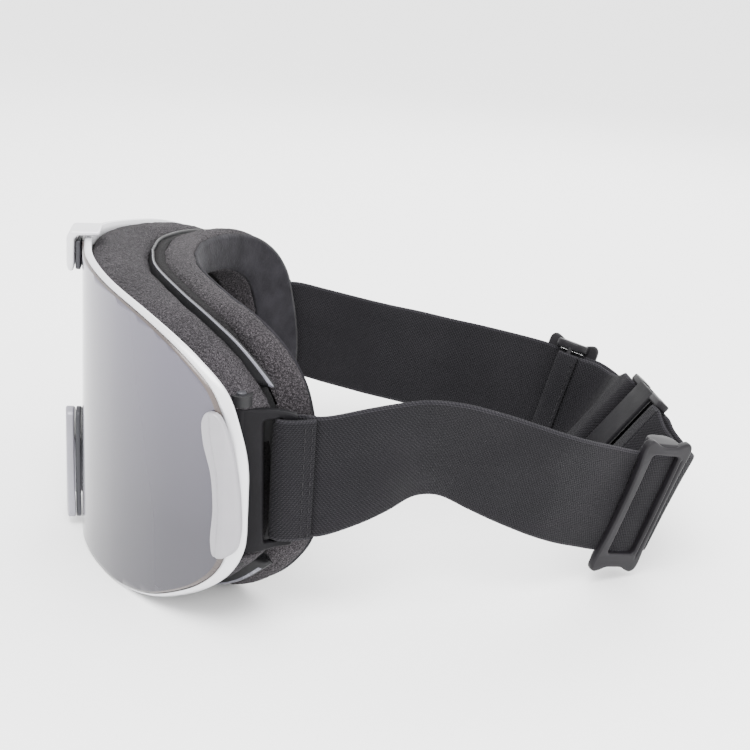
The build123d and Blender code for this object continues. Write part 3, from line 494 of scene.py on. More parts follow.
# ---------------------------------------------------------------------- lens
def lens_piece():
    rings = [ring(out_offset(o_lens, -e), P_L[d]) for d, e in
             ((0.0, 0.35), (0.3, 0.08), (1.0, 0.0), (1.7, 0.08), (2.0, 0.35))]
    depth = [0.35, 1.2, 3.0]
    # faces: triangulate front and back from a 2D fill of the outline
    o = out_offset(o_lens, -0.35)
    bm = bmesh.new()
    vs = [bm.verts.new((x / 1000, 0, z / 1000)) for x, z in o]
    bm.faces.new(vs)
    # cut with vertical and horizontal planes so that the sheet can bend
    for x in np.arange(-94, 95, 2.0):
        g = bm.verts[:] + bm.edges[:] + bm.faces[:]
        bmesh.ops.bisect_plane(bm, geom=g, plane_co=(x / 1000, 0, 0), plane_no=(1, 0, 0), dist=1e-7)
    for z in np.arange(-64.5, 32, 2.4):
        g = bm.verts[:] + bm.edges[:] + bm.faces[:]
        bmesh.ops.bisect_plane(bm, geom=g, plane_co=(0, 0, z / 1000), plane_no=(0, 0, 1), dist=1e-7)
    bm.verts.index_update()
    xz = np.array([(v.co.x * 1000, v.co.z * 1000) for v in bm.verts])
    faces = [[v.index for v in f.verts] for f in bm.faces]
    # boundary loop in order
    nxt = {}
    for f in bm.faces:
        lp = list(f.loops)
        for l in lp:
            if l.edge.is_boundary:
                nxt[l.vert.index] = l.link_loop_next.vert.index
    start = next(iter(nxt))
    loop = [start]
    while True:
        q = nxt[loop[-1]]
        if q == start:
            break
        loop.append(q)
    bm.free()
    nv = len(xz)
    b = xz[loop]
    verts = [ring(xz, P_L[0.0])]
    fmat = [0] * len(faces)
    allf = [list(f) for f in faces]
    verts.append(ring(xz, P_L[2.0]))
    allf += [[i + nv for i in reversed(f)] for f in faces]
    fmat += [0] * len(faces)
    base = 2 * nv
    layers = []
    sgn = 1.0
    t = np.roll(b, -1, 0) - np.roll(b, 1, 0)
    t /= np.maximum(np.linalg.norm(t, axis=1), 1e-9)[:, None]
    area = np.sum(b[:, 0] * np.roll(b[:, 1], -1) - np.roll(b[:, 0], -1) * b[:, 1])
    nrm = np.stack([t[:, 1], -t[:, 0]], 1) * (1 if area > 0 else -1)
    for d, e in ((0.3, 0.27), (1.0, 0.35), (1.7, 0.27)):
        layers.append(ring(b + nrm * e, P_L[d]))
    m = len(loop)
    verts += layers
    rows = [list(loop)] + [[base + k * m + i for i in range(m)] for k in range(3)] + [[i + nv for i in loop]]
    for a, c in zip(rows[:-1], rows[1:]):
        for i in range(m):
            j = (i + 1) % m
            allf.append([a[i], c[i], c[j], a[j]])
            fmat.append(1)
    o = make("lens_sheet", P(np.vstack(verts)), allf, None, mats=[M_LENS, M_LENSEDGE], fmat=fmat)
    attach(o, "lens_carrier")
    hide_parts("lens")
    return o


lens_piece()


# --------------------------------------------------------------------- bezel
def bezel_piece():
    side = (ease(o_lens[:, 1], -44.0, -30.0) * (1 - ease(o_lens[:, 1], -17.0, 1.0)) * ease(np.abs(o_lens[:, 0]), 78, 86))[:, None]
    low = ease(-o_lens[:, 1], 42.0, 54.0)[:, None]

    def rear(off, da, db, cap):
        o = out_offset(o_lens, off) if off is not None else o_bin
        thin = ring(o, P_L[da], cap=cap) * (1 - low) + ring(o, P_L[2.3], cap=cap) * low
        return thin * (1 - side) + ring(o, P_L[db], cap=cap) * side
    rings = [
        ring(o_bin, P_L[2.1]),
        ring(out_offset(o_lens, -2.0), P_L[2.1]),
        ring(out_offset(o_lens, 0.04), P_L[2.1]),
        ring(out_offset(o_lens, 0.12), P_L[1.0]),
        ring(out_offset(o_lens, 0.30), P_L[0.6]),
        ring(out_offset(o_lens, 0.72), P_L[0.8]),
        ring(out_offset(o_lens, 0.98), P_L[1.4], cap=-20.6),
        rear(1.06, 2.1, 3.2, -20.2),
        rear(1.0, 2.6, 4.2, -18.8),
        rear(0.6, 2.9, 4.7, -18.2),
        rear(-2.0, 3.0, 4.7, -18.2),
        rear(None, 3.0, 4.7, -18.2),
    ]
    R = np.stack(rings, 0)
    o = torus_mesh("bezel_ring", R, M_SILVER)
    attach(o, "lens_carrier")
    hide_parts("bezel")


bezel_piece()


# ---------------------------------------------- gasket, chassis wall, flange
def simple_ring(name, rings, mat, node, body="frame", per=0):
    R = blend_section(rings, per) if per else np.stack(rings, 0)
    o = torus_mesh(name, R, mat)
    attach(o, body)
    if node:
        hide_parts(node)
    return o


simple_ring("gasket_ring", [ring(o_cin, P_L[5.1]), ring(o_cwall, P_L[5.1]), ring(out_offset(o_cwall, 0.1), P_L[5.7]),
                            ring(o_cin, P_L[5.7])], M_GASKET, "lens_gasket")
# the chassis stays a CAD piece (wall, lugs and bores), with its own finish
for node, mat in (("chassis_frame", M_CHASSIS), ("left_hinge_pin", M_CATCH), ("right_hinge_pin", M_CATCH)):
    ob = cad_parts[node]
    for s in ob.material_slots:
        s.material = mat

fl_rings = [ring(o_flin, P_F[0.9]), ring(out_offset(o_flout, -3.4), P_F[0.0]), ring(out_offset(o_flout, -2.2), P_F[0.9]),
            ring(out_offset(o_flout, -0.9), P_F[0.9]), ring(out_offset(o_flout, -0.45), P_F[1.2]),
            ring(out_offset(o_flout, -0.5), P_F[1.6]), ring(out_offset(o_flout, -1.1), P_F[1.8]),
            ring(o_flin, P_F[1.8])]


def notch_rings(R, xmax, z0, z1, soft=4.0):
    """Pulls a ring in to |x| <= xmax between two heights, for the outriggers."""
    w = ease(R[..., 2], z0 - soft, z0) * (1 - ease(R[..., 2], z1, z1 + soft))
    ax = np.abs(R[..., 0])
    tgt = np.minimum(ax, xmax)
    new = ax * (1 - w) + tgt * w
    R = R.copy()
    dx = ax - new
    R[..., 0] = np.sign(R[..., 0]) * new
    R[..., 1] -= dx * 0.55
    return R


flange = torus_mesh("face_flange_rim", notch_rings(np.stack(fl_rings, 0), 71.6, -46.0, 7.0, 1.2), M_CHASSIS)
flange.data.materials.append(M_FLANGE)
# rim stripe: ring row 3 takes the lighter flange grey, but between the outriggers (z -49.5 to 7.5) it stays chassis
# black, painted shade for the dark window behind each outrigger plate
for fc in flange.data.polygons:
    r_ = fc.index // (2 * N)
    zc = fc.center.z * 1000 - BZ
    fc.material_index = 1 if r_ in (3,) and not -49.5 < zc < 7.5 else 0
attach(flange, "frame"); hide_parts("face_flange")


# ----------------------------------------------------------------- vent foam
def vent_piece():
    """Filter foam from the carrier back to the flange, over the chassis wall."""
    cap = -15.5
    A = ring(out_offset(o_cout, -0.3), P_L[3.3], cap=-22.5)
    Ai = ring(out_offset(o_cwall, 0.15), P_L[6.05], cap=cap)
    Bo = ring(out_offset(o_flout, -1.4), P_F[-0.1])
    Bi = ring(out_offset(o_cwall, 0.15), P_F[-0.1])
    rows = []
    m = 34
    bul = 2.2
    for i in range(m + 1):                                # outer face, front to back
        t = i / m
        c = A * (1 - t) + Bo * t
        up = out_offset(c[:, [0, 2]], bul * math.sin(math.pi * min(1, t * 1.02)) ** 0.7 - 1.5 * t ** 6)
        c = np.stack([up[:, 0], c[:, 1], up[:, 1]], 1)
        c[:, 2] = np.clip(c[:, 2], -65.6, 99)
        near = (1 - ease(c[:, 2], 3.0, 15.0)) * (c[:, 2] > 0) + ease(c[:, 2], -58.0, -46.0) * (c[:, 2] < -40)
        c[:, 0] += np.sign(c[:, 0]) * 2.6 * near * (np.abs(c[:, 0]) > 60) * math.sin(math.pi * min(1.0, t * 1.1)) ** 0.6
        rows.append(c)
    for i in range(1, 6):                                 # back face, down to the wall
        t = i / 6
        rows.append(rows[m] * (1 - t) + Bi * t)
    for i in range(0, 9):                                 # along the wall, back to front
        t = i / 8
        rows.append(Bi * (1 - t) + Ai * t)
    for i in range(1, 6):
        t = i / 6
        rows.append(Ai * (1 - t) + rows[0] * t)
    R = np.stack(rows, 0)
    # split into an upper and a lower foam, ended at the outriggers
    n2 = R.shape[1]
    z = o_cout[:, 1]
    for name, keep in (("upper_vent_foam", z > 3.4), ("lower_vent_foam", z < -42.6)):
        ids = np.where(keep)[0]
        if name == "upper_vent_foam":
            ids = np.r_[ids[ids > N], ids[ids <= N]]
            runs = [ids]
        else:
            runs = [ids]
        verts, faces = [], []
        k = R.shape[0]
        for run in runs:
            base = len(verts)
            L = len(run)
            for j in run:
                verts.extend(R[:, j])
            for a in range(L - 1):
                for i in range(k):
                    i2 = (i + 1) % k
                    faces.append((base + a * k + i, base + (a + 1) * k + i, base + (a + 1) * k + i2, base + a * k + i2))
            for a in (0, L - 1):
                c = R[:, run[a]].mean(0)
                verts.append(c)
                ci = len(verts) - 1
                for i in range(k):
                    faces.append((base + a * k + i, base + a * k + (i + 1) % k, ci))
        o = make(name + "_pad", P(np.array(verts)), faces, M_VENT)
        displace(o, 0.32, 6.0, 3.0, 0.16, 0.9)
        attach(o, "frame"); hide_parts(name)


vent_piece()


# ---------------------------------------------------- face foam and its layers
def face_pieces():
    base = [ring(out_offset(o_fin, 0.6), P_F[2.0]), ring(out_offset(o_fout, -2.2), P_F[2.0]),
            ring(out_offset(o_fout, -1.2), P_F[2.0]), ring(out_offset(o_fout, -1.0), P_F[5.2]),
            ring(out_offset(o_fout, -2.2), P_F[5.2]), ring(out_offset(o_fin, 0.6), P_F[5.2])]
    for b in base:
        b[:, 2] = np.clip(b[:, 2], -65.9, 99)
    # the base band's dark foam colour is painted shade
    b = torus_mesh("foam_base_band", np.stack(base, 0), M_BASE)
    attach(b, "frame"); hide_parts("foam_base_layer")

    A = ring(out_offset(o_fout, -0.2), P_F[5.3])
    B = ring(out_offset(o_fout, -0.2), P_R[-1.6])
    Ai = ring(o_fin, P_F[5.3])
    Bi = ring(o_fin, P_R[-1.6])
    rows = []
    m = 26
    for i in range(m + 1):
        t = i / m
        c = A * (1 - t) + B * t
        edge = -1.1 * (abs(2 * t - 1) ** 5)
        up = out_offset(c[:, [0, 2]], 0.9 * (1 - (2 * t - 1) ** 2) + edge)
        c = np.stack([up[:, 0], c[:, 1], up[:, 1]], 1)
        c[:, 2] = np.clip(c[:, 2], -66.0, 99)
        rows.append(c)
    for i in range(1, 7):
        t = i / 7
        rows.append(rows[m] * (1 - t) + Bi * t)
    for i in range(0, 15):
        t = i / 14
        c = Bi * (1 - t) + Ai * t
        up = out_offset(c[:, [0, 2]], -0.5 * (1 - (2 * t - 1) ** 2))
        rows.append(np.stack([up[:, 0], c[:, 1], up[:, 1]], 1))
    for i in range(1, 7):
        t = i / 7
        rows.append(Ai * (1 - t) + rows[0] * t)
    f = torus_mesh("face_foam_pad", np.stack(rows, 0), M_FACE)
    displace(f, 0.28, 7.0, 11.0, 0.16, 0.9)
    me = f.data
    co = np.zeros(len(me.vertices) * 3); me.vertices.foreach_get("co", co)
    co = co.reshape(-1, 3); co[:, 2] = np.maximum(co[:, 2], 0.0)
    me.vertices.foreach_set("co", co.ravel()); me.update()
    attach(f, "frame"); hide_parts("face_foam")

    # fleece: laps over the rear edge and lines the inner wall
    C = ring(out_offset(o_fout, -0.9), P_R[-0.8])
    rows = [ring(out_offset(o_fout, -1.3), P_R[-1.5]), C, ring(out_offset(o_fout, -2.4), P_R[0.0])]
    w = np.linspace(0, 1, 12)
    a2, b2 = out_offset(o_fout, -3.2), out_offset(o_fin, 1.6)
    for t in w:
        oo = a2 * (1 - t) + b2 * t
        r = ring(oo, P_R[0.0])
        r[:, 1] += 0.35 * math.sin(math.pi * t) - 0.1
        rows.append(r)
    rows.append(ring(out_offset(o_fin, 0.4), P_R[-0.8]))
    rows.append(ring(out_offset(o_fin, 0.2), P_R[-1.5]))
    for t in w[::-1][1:-1]:
        rows.append(ring(a2 * (1 - t) + b2 * t, P_R[-1.5]))
    R = np.stack(rows, 0)
    R[..., 2] = np.clip(R[..., 2], -65.8, 99)
    l = torus_mesh("fleece_lining_skin", R, M_FLEECE)
    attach(l, "frame"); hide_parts("fleece_lining")


face_pieces()



# ------------------------------------------------------- straps and hardware
def unit(v):
    v = np.asarray(v, float)
    return v / np.linalg.norm(v)


def lean_up(t, lean, square=True):
    h = unit((t[0], t[1], 0.0))
    out = np.array((h[1], -h[0], 0.0))
    a = math.radians(lean)
    v = np.array((math.sin(a) * out[0], math.sin(a) * out[1], math.cos(a)))
    return unit(v - np.dot(v, t) * t) if square else v


WEB_W, WEB_T = 38.0, 1.6
# middle, run, width and outward directions at each slider
SLIDE_C = {1: (49.3, 109.4, -37.9), -1: (51.0, 104.8, -36.8)}
SLIDE_U = {1: unit((-0.4063, 0.8915, -0.2004)), -1: unit((-0.4953, 0.8486, -0.1862))}
SLIDE_V = {1: unit((0.096, 0.2598, 0.9609)), -1: unit((0.1466, 0.2929, 0.9448))}
SLIDE_W = {k: np.cross(SLIDE_U[k], SLIDE_V[k]) for k in (1, -1)}
BUCKLE_C = np.array((0.0, 113.5, -32.0))
ba = math.radians(38.0)
BU = np.array((-1.0, 0.0, 0.0))
BV = np.array((0.0, math.sin(ba), math.cos(ba)))
BW = np.cross(BU, BV)
TOP_EDGE = {
    1: [((78.6, 3.2, 0.4), 0.0), ((79.9, 14.0, 3.2), 6.0), ((80.8, 24.0, 5.6), 13.0),
        ((80.9, 33.0, 7.2), 20.0), ((80.4, 42.0, 6.4), 22.5), ((78.8, 54.0, 3.2), 22.0),
        ((76.2, 66.0, -1.0), 20.5), ((72.2, 79.0, -6.0), 18.5)],
    -1: [((78.6, 3.2, -0.4), 2.0), ((79.9, 14.0, -2.9), 8.0), ((80.6, 24.0, -5.2), 12.0),
         ((80.7, 33.0, -7.2), 14.0), ((80.0, 43.0, -9.0), 15.0), ((78.6, 54.0, -10.6), 16.0),
         ((75.8, 66.0, -12.4), 16.0), ((71.6, 78.0, -13.6), 16.0)],
}
REAR_MID = {
    1: [(40.8, 122.6, -40.8), (35.8, 122.0, -40.8), (30.6, 119.7, -39.0), (25.6, 117.0, -36.4)],
    -1: [(41.0, 118.2, -39.4), (35.7, 118.6, -39.6), (30.5, 117.4, -38.4), (25.6, 116.0, -36.2)],
}
RETURN_MID = {
    1: [(36.6, 118.0, -39.8), (31.0, 115.9, -37.6), (26.0, 113.4, -34.8)],
    -1: [(37.0, 114.4, -38.2), (31.3, 113.9, -36.8), (26.0, 112.6, -34.2)],
}


def at_slider(u, v, w, side=1):
    return np.array(SLIDE_C[side]) + u * SLIDE_U[side] + v * SLIDE_V[side] + w * SLIDE_W[side]


def at_buckle(u, v, w):
    return BUCKLE_C + u * BU + v * BV + w * BW


def flip(p, side):
    return np.asarray(p) * np.array((side, 1.0, 1.0))


def smooth_stations(pts, ends):
    n = len(pts)
    out = []
    for i, c in enumerate(pts):
        k = i / (n - 1)
        out.append((np.asarray(c, float), unit((1 - k) * ends[0] + k * ends[1])))
    return out


def strap_stations(side):
    edge = TOP_EDGE[side]
    out = []
    for i, (top, lean) in enumerate(edge):
        a, b = np.array(edge[max(i - 1, 0)][0]), np.array(edge[min(i + 1, len(edge) - 1)][0])
        t = unit(b - a)
        v = lean_up(t, lean, False)
        if i > 4:
            k = (i - 4) / (len(edge) - 3)
            v = unit((1 - k) * v + k * SLIDE_V[side])
        out.append((np.array(top) - v * WEB_W / 2, v))
    return out


def band(name, stations, side, body=None, width=WEB_W, thick=WEB_T, step=0.9, u0=0.0, wavy=0.35, seed=0.0,
         cup=0.25, slim=None, cap=True):
    """Webbing along stations of (middle point, width direction): rounded selvedges, slight waves."""
    C = np.array([c for c, _ in stations])
    Vv = np.array([v for _, v in stations])
    dense = catmull(np.hstack([C, Vv * 20.0]), 600)
    ln = np.r_[0, np.cumsum(np.linalg.norm(np.diff(dense[:, :3], axis=0), axis=1))]
    n = max(12, int(ln[-1] / step))
    s = np.linspace(0, ln[-1], n)
    c = np.stack([np.interp(s, ln, dense[:, i]) for i in range(3)], 1)
    v = np.stack([np.interp(s, ln, dense[:, i + 3]) for i in range(3)], 1)
    v /= np.linalg.norm(v, axis=1)[:, None]
    t = np.gradient(c, axis=0)
    t /= np.linalg.norm(t, axis=1)[:, None]
    w = np.cross(t, v)
    w /= np.linalg.norm(w, axis=1)[:, None]
    # cross-section: (across, through, edge flag)
    m = 22
    h, r = width / 2, thick / 2
    top = [(x, 1.0, 0) for x in np.linspace(-h + r * 1.3, h - r * 1.3, m)]
    arc = [(h - r * 1.3 + 1.3 * r * math.sin(a), math.cos(a), 1) for a in np.linspace(0, math.pi, 7)[1:-1]]
    prof = top + arc + [(x, -1.0, 0) for x, _, _ in top[::-1]] + [(-x, y * -1, 1) for x, y, _ in arc]
    k = len(prof)
    verts, uvs = [], []
    for i in range(n):
        for x, y, e in prof:
            q = Vector((s[i] / 17.0, x / 11.0, seed))
            wv = noise.noise(q) * wavy * min(1.0, s[i] / 14.0, (s[-1] - s[i]) / 14.0 + 0.0)
            wv += cup * ((x / h) ** 2 - 0.33) * min(1.0, s[i] / 14.0, (s[-1] - s[i]) / 14.0)
            # the selvedge is a little thinner than the middle
            th = r * (1.0 - 0.14 * max(0.0, abs(x) / h - 0.86) / 0.14) if not e else r * 0.86
            verts.append(c[i] + v[i] * x + w[i] * (y * th + wv))
            uvs.append((u0 + s[i], x + (0 if y > 0 else 100)))
    faces, fm = [], []
    for i in range(n - 1):
        for j in range(k):
            j2 = (j + 1) % k
            faces.append((i * k + j, (i + 1) * k + j, (i + 1) * k + j2, i * k + j2))
            # selvedge faces take the lighter webbing_edge material, a painted highlight
            fm.append(1 if (prof[j][2] or prof[j2][2]) else 0)
    if cap:
        faces.append(tuple(range(k))[::-1])
        faces.append(tuple((n - 1) * k + j for j in range(k)))
        fm += [1, 1]
    pts = np.array(verts)
    pts[:, 0] *= side
    o = make(name, P(pts), faces, None, uv=uvs, mats=[M_WEB, M_EDGE], fmat=fm)
    if body:
        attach(o, body)
    return o, s[-1]


def stitches(name, starts, side, body, length=2.2, r=0.32, mat=None):
    """Short thread stitches: list of (point, run direction, outward direction)."""
    verts, faces = [], []
    seg, rng_ = 6, 5
    for p, d, n in starts:
        p, d, n = np.asarray(p, float), unit(d), unit(n)
        b = np.cross(d, n)
        base = len(verts)
        for i in range(rng_):
            a = (i / (rng_ - 1) - 0.5) * length
            rr = r * (1.0 if 0 < i < rng_ - 1 else 0.35)
            lift = 0.16 - 0.34 * (2 * abs(i / (rng_ - 1) - 0.5)) ** 2
            for j in range(seg):
                an = 2 * math.pi * j / seg
                verts.append(p + d * a + b * (rr * math.cos(an)) + n * (lift + rr * math.sin(an) * 0.8))
        for i in range(rng_ - 1):
            for j in range(seg):
                j2 = (j + 1) % seg
                faces.append((base + i * seg + j, base + i * seg + j2, base + (i + 1) * seg + j2, base + (i + 1) * seg + j))
        faces.append(tuple(base + j for j in range(seg)))
        faces.append(tuple(base + (rng_ - 1) * seg + j for j in range(seg)))
    v = np.array(verts)
    v[:, 0] *= side
    o = make(name, P(v), faces, mat or M_THREAD)
    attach(o, body)
    return o


def plate2d(name, outer, holes, half, bevel, mat, fmap, body, node=None, cuts=None, smooth_out=0, res=3):
    """Flat shape with holes, given thickness and rounded edges, then carried through fmap(a, b, c)."""
    cu = bpy.data.curves.new(name, "CURVE")
    cu.dimensions = "2D"
    cu.fill_mode = "BOTH"
    cu.extrude = max(half - bevel, 0.001)
    cu.bevel_depth = bevel
    cu.bevel_resolution = res
    cu.offset = -bevel
    for lp in [outer] + list(holes):
        q = np.asarray(lp, float)
        if smooth_out:
            q = catmull_closed(q, smooth_out)
        sp = cu.splines.new("POLY")
        sp.points.add(len(q) - 1)
        for pnt, (a, b) in zip(sp.points, q):
            pnt.co = (a, b, 0, 1)
        sp.use_cyclic_u = True
    tmp = bpy.data.objects.new(name + "_c", cu)
    COL.objects.link(tmp)
    bpy.context.view_layer.update()
    me = bpy.data.meshes.new_from_object(tmp.evaluated_get(bpy.context.evaluated_depsgraph_get()))
    bpy.data.objects.remove(tmp)
    bm = bmesh.new()
    bm.from_mesh(me)
    bmesh.ops.remove_doubles(bm, verts=bm.verts, dist=1e-4)
    for axis, vals in (cuts or {}).items():
        no = [(1, 0, 0), (0, 1, 0)][axis]
        for c in vals:
            g = bm.verts[:] + bm.edges[:] + bm.faces[:]
            bmesh.ops.bisect_plane(bm, geom=g, plane_co=tuple(np.array(no) * c), plane_no=no, dist=1e-5)
    bm.verts.index_update()
    co = np.array([v.co for v in bm.verts])
    faces = [[v.index for v in f.verts] for f in bm.faces]
    bm.free()
    bpy.data.meshes.remove(me)
    pts = np.array([fmap(a, b, c) for a, b, c in co])
    o = make(name, P(pts), faces, mat)
    sharpen(o)
    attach(o, body)
    if node:
        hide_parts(node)
    return o


def sharpen(o, ang=40.0):
    """Keeps shading crisp across steep edges."""
    me = o.data
    bm = bmesh.new()
    bm.from_mesh(me)
    lim = math.radians(ang)
    for e in bm.edges:
        if len(e.link_faces) == 2 and e.calc_face_angle(0.0) > lim:
            e.smooth = False
    bm.to_mesh(me)
    bm.free()


def rrect(a0, a1, b0, b1, r, n=5):
    pts = []
    for cx, cy, s in ((a1 - r, b1 - r, 0), (a0 + r, b1 - r, 90), (a0 + r, b0 + r, 180), (a1 - r, b0 + r, 270)):
        for i in range(n + 1):
            a = math.radians(s + 90 * i / n)
            pts.append((cx + r * math.cos(a), cy + r * math.sin(a)))
    return pts


def round_poly(pts, r, n=4):
    """Polygon with its corners rounded; r may be one value or one per corner."""
    p = np.asarray(pts, float)
    rs = r if hasattr(r, "__len__") else [r] * len(p)
    out = []
    for i in range(len(p)):
        a, b, c = p[i - 1], p[i], p[(i + 1) % len(p)]
        la, lc = np.linalg.norm(a - b), np.linalg.norm(c - b)
        d = min(rs[i], la * 0.45, lc * 0.45)
        s, e = b + (a - b) / la * d, b + (c - b) / lc * d
        for t in np.linspace(0, 1, n + 1):
            out.append((1 - t) ** 2 * s + 2 * t * (1 - t) * b + t * t * e)
    return [tuple(x) for x in out]


def rod(name, a, b, r, mat, body, squash=(1.0, 1.0), side=1, seg=20, node=None, round_end=0.5, ref=(0, 0, 1)):
    a, b = np.asarray(a, float), np.asarray(b, float)
    d = unit(b - a)
    x = np.cross(d, ref)
    if np.linalg.norm(x) < 0.1:
        x = np.cross(d, (1, 0, 0))
    x = unit(x)
    y = np.cross(d, x)
    L = np.linalg.norm(b - a)
    prof = [(0, r - round_end), (round_end * 0.3, r - round_end * 0.3), (round_end, r), (L - round_end, r),
            (L - round_end * 0.3, r - round_end * 0.3), (L, r - round_end)]
    verts, faces = [], []
    for s_, rr in prof:
        for j in range(seg):
            an = 2 * math.pi * j / seg
            verts.append(a + d * s_ + x * (rr * squash[0] * math.cos(an)) + y * (rr * squash[1] * math.sin(an)))
    for i in range(len(prof) - 1):
        for j in range(seg):
            j2 = (j + 1) % seg
            faces.append((i * seg + j, i * seg + j2, (i + 1) * seg + j2, (i + 1) * seg + j))
    faces.append(tuple(range(seg)))
    faces.append(tuple((len(prof) - 1) * seg + j for j in range(seg)))
    v = np.array(verts)
    v[:, 0] *= side
    o = make(name, P(v), faces, mat)
    sharpen(o, 50)
    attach(o, body)
    if node:
        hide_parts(node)
    return o


def lens_point(x, z, d):
    """Point d behind the lens front, at plan position x of that front."""
    c = P_L[0.0]
    ax = abs(x)
    y = np.interp(ax, c[:, 0], c[:, 1])
    x1, x0 = min(ax + 0.6, c[-1, 0]), min(ax, c[-1, 0] - 0.6) - 0.6
    t = unit((x1 - x0, np.interp(x1, c[:, 0], c[:, 1]) - np.interp(x0, c[:, 0], c[:, 1])))
    return (math.copysign(ax - t[1] * d, x), y + t[0] * d, z)


def straps():
    for side, nm in SIDES:
        arm = nm + "_outrigger_arm"
        # main strap, from inside the front seam to under the slider's rear rail
        st = strap_stations(side)
        c0, v0 = st[0]
        st = [(c0 + np.array((-0.35, -5.0, -0.2 * side)), v0)] + st
        V = SLIDE_V[side]
        st += [(at_slider(-11, 1.0, 0, side), V), (at_slider(-6, 1.0, 0.1, side), V), (at_slider(0, 1.0, 0.7, side), V),
               (at_slider(5, 1.0, 0.3, side), V), (at_slider(9.0, 1.0, 0, side), V)]
        o, ln = band(nm + "_strap_band", st, side, wavy=0.8, seed=3.0 * side, cup=0.45)
        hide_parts(nm + "_strap", nm + "_strap_lead")
        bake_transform(o)
        # rear strap, on through the turn and round the buckle bar
        bs = -1.0 if side == 1 else 1.0
        pts = [at_slider(8.6, 1.0, 0, side), at_slider(12.6, 1.0, 0, side)] + [np.array(q) for q in REAR_MID[side]]
        pts = [flip(q, side) for q in pts]
        Vs, Bv = flip(V, side), BV
        loop = [(-20.8, 2.4), (-17.0, 2.45), (-14.2, 2.3), (-12.75, 1.2), (-12.4, 0.0), (-12.75, -1.2), (-14.2, -2.3),
                (-17.0, -2.45), (-20.6, -2.4)]
        n1 = len(pts)
        st = []
        for i, q in enumerate(pts):
            k = max(0.0, (i - 1) / (n1 - 1 + 0.0001))
            st.append((q, unit((1 - k) * Vs + k * Bv)))
        for u_, w_ in loop:
            st.append((at_buckle(u_ * (1 if side == 1 else -1), 0, w_), Bv))
        o, _ = band(nm + "_rear_band", st, 1, u0=ln, wavy=0.25, seed=9.0, cup=0.15, step=0.7)
        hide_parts(nm + "_rear_strap", nm + "_buckle_loop")
        if side == -1:
            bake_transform(o)
        else:
            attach(o, "frame")
        # return webbing from the buckle to the slider's middle bar
        pts = [at_slider(4.4, 0, -4.05, side), at_slider(11.0, 0.2, -4.2, side)] + [np.array(q) for q in RETURN_MID[side]]
        pts = [flip(q, side) for q in pts] + [at_buckle(-20.6 if side == 1 else 20.6, 0, -2.4)]
        st = smooth_stations(pts, (Vs, Bv))
        if side == 1:
            o, _ = band("left_return_band", st, 1, wavy=0.15, seed=5.0, cup=0.1, step=0.8)
            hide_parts("left_return_strap")
            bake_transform(o)
        else:
            # two lengths: one from the slider, the other on to the hook half
            c = catmull(np.hstack([np.array([q for q, _ in st]), np.array([v for _, v in st]) * 20]), 41)
            half = [(r_[:3], unit(r_[3:])) for r_ in c]
            o, l1 = band("right_return_band", half[:23:2], 1, wavy=0.15, seed=5.0, cup=0.1, step=0.8)
            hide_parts("right_return_strap")
            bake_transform(o)
            o, _ = band("right_return_band_rear", half[22::2], 1, u0=l1, wavy=0.15, seed=5.0, cup=0.1, step=0.8)
            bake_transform(o)
        # loop round the outrigger's bar
        z0 = -19.0
        path = [(80.1, 0.7), (80.45, -1.0), (81.2, -3.4), (81.65, -6.0), (81.5, -8.6), (80.3, -10.5), (78.6, -11.0),
                (77.1, -10.4), (76.35, -8.6), (76.25, -6.0), (76.6, -3.0), (77.2, -0.6), (77.3, 0.8)]
        st = [(np.array((x, y, z0)), np.array((0.0, 0.0, 1.0))) for x, y in path]
        o, _ = band(nm + "_loop_band", st, side, body=arm, wavy=0.18, seed=1.0, cup=0.0, step=0.5, width=WEB_W, thick=1.5)
        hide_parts(nm + "_strap_loop")
        # two rows of stitching through the seam
        rows = []
        for yy, xx in ((-0.3, 81.02), (-2.4, 81.68)):
            for z in np.arange(-36.4, -1.2, 2.75):
                rows.append(((xx, yy, z), (0, 0, 1), (0.94, 0.34, 0)))
        stitches(nm + "_seam_stitching", rows, side, arm, length=2.0, r=0.2)
        # sewn end round the slider's middle bar, one row of stitches beside it
        body = nm + "_slider_set"
        path = [(4.4, -2.5), (1.0, -2.5), (-2.0, -2.55), (-3.1, -3.05), (-3.4, -4.05), (-3.1, -5.05), (-2.0, -5.55), (1.0, -5.6), (4.4, -5.6)]
        st = [(at_slider(u_, 0, w_, side), SLIDE_V[side]) for u_, w_ in path]
        o, _ = band(nm + "_sewn_wrap", st, side, body=body, wavy=0.0, cup=0.0, step=0.5, thick=1.15)
        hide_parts(nm + "_sewn_end")
        rows = [(at_slider(3.3, v_, -6.2, side), SLIDE_V[side], -SLIDE_W[side]) for v_ in np.arange(-17.4, 17.6, 2.7)]
        stitches(nm + "_sewn_stitching", rows, side, body, r=0.26)


straps()


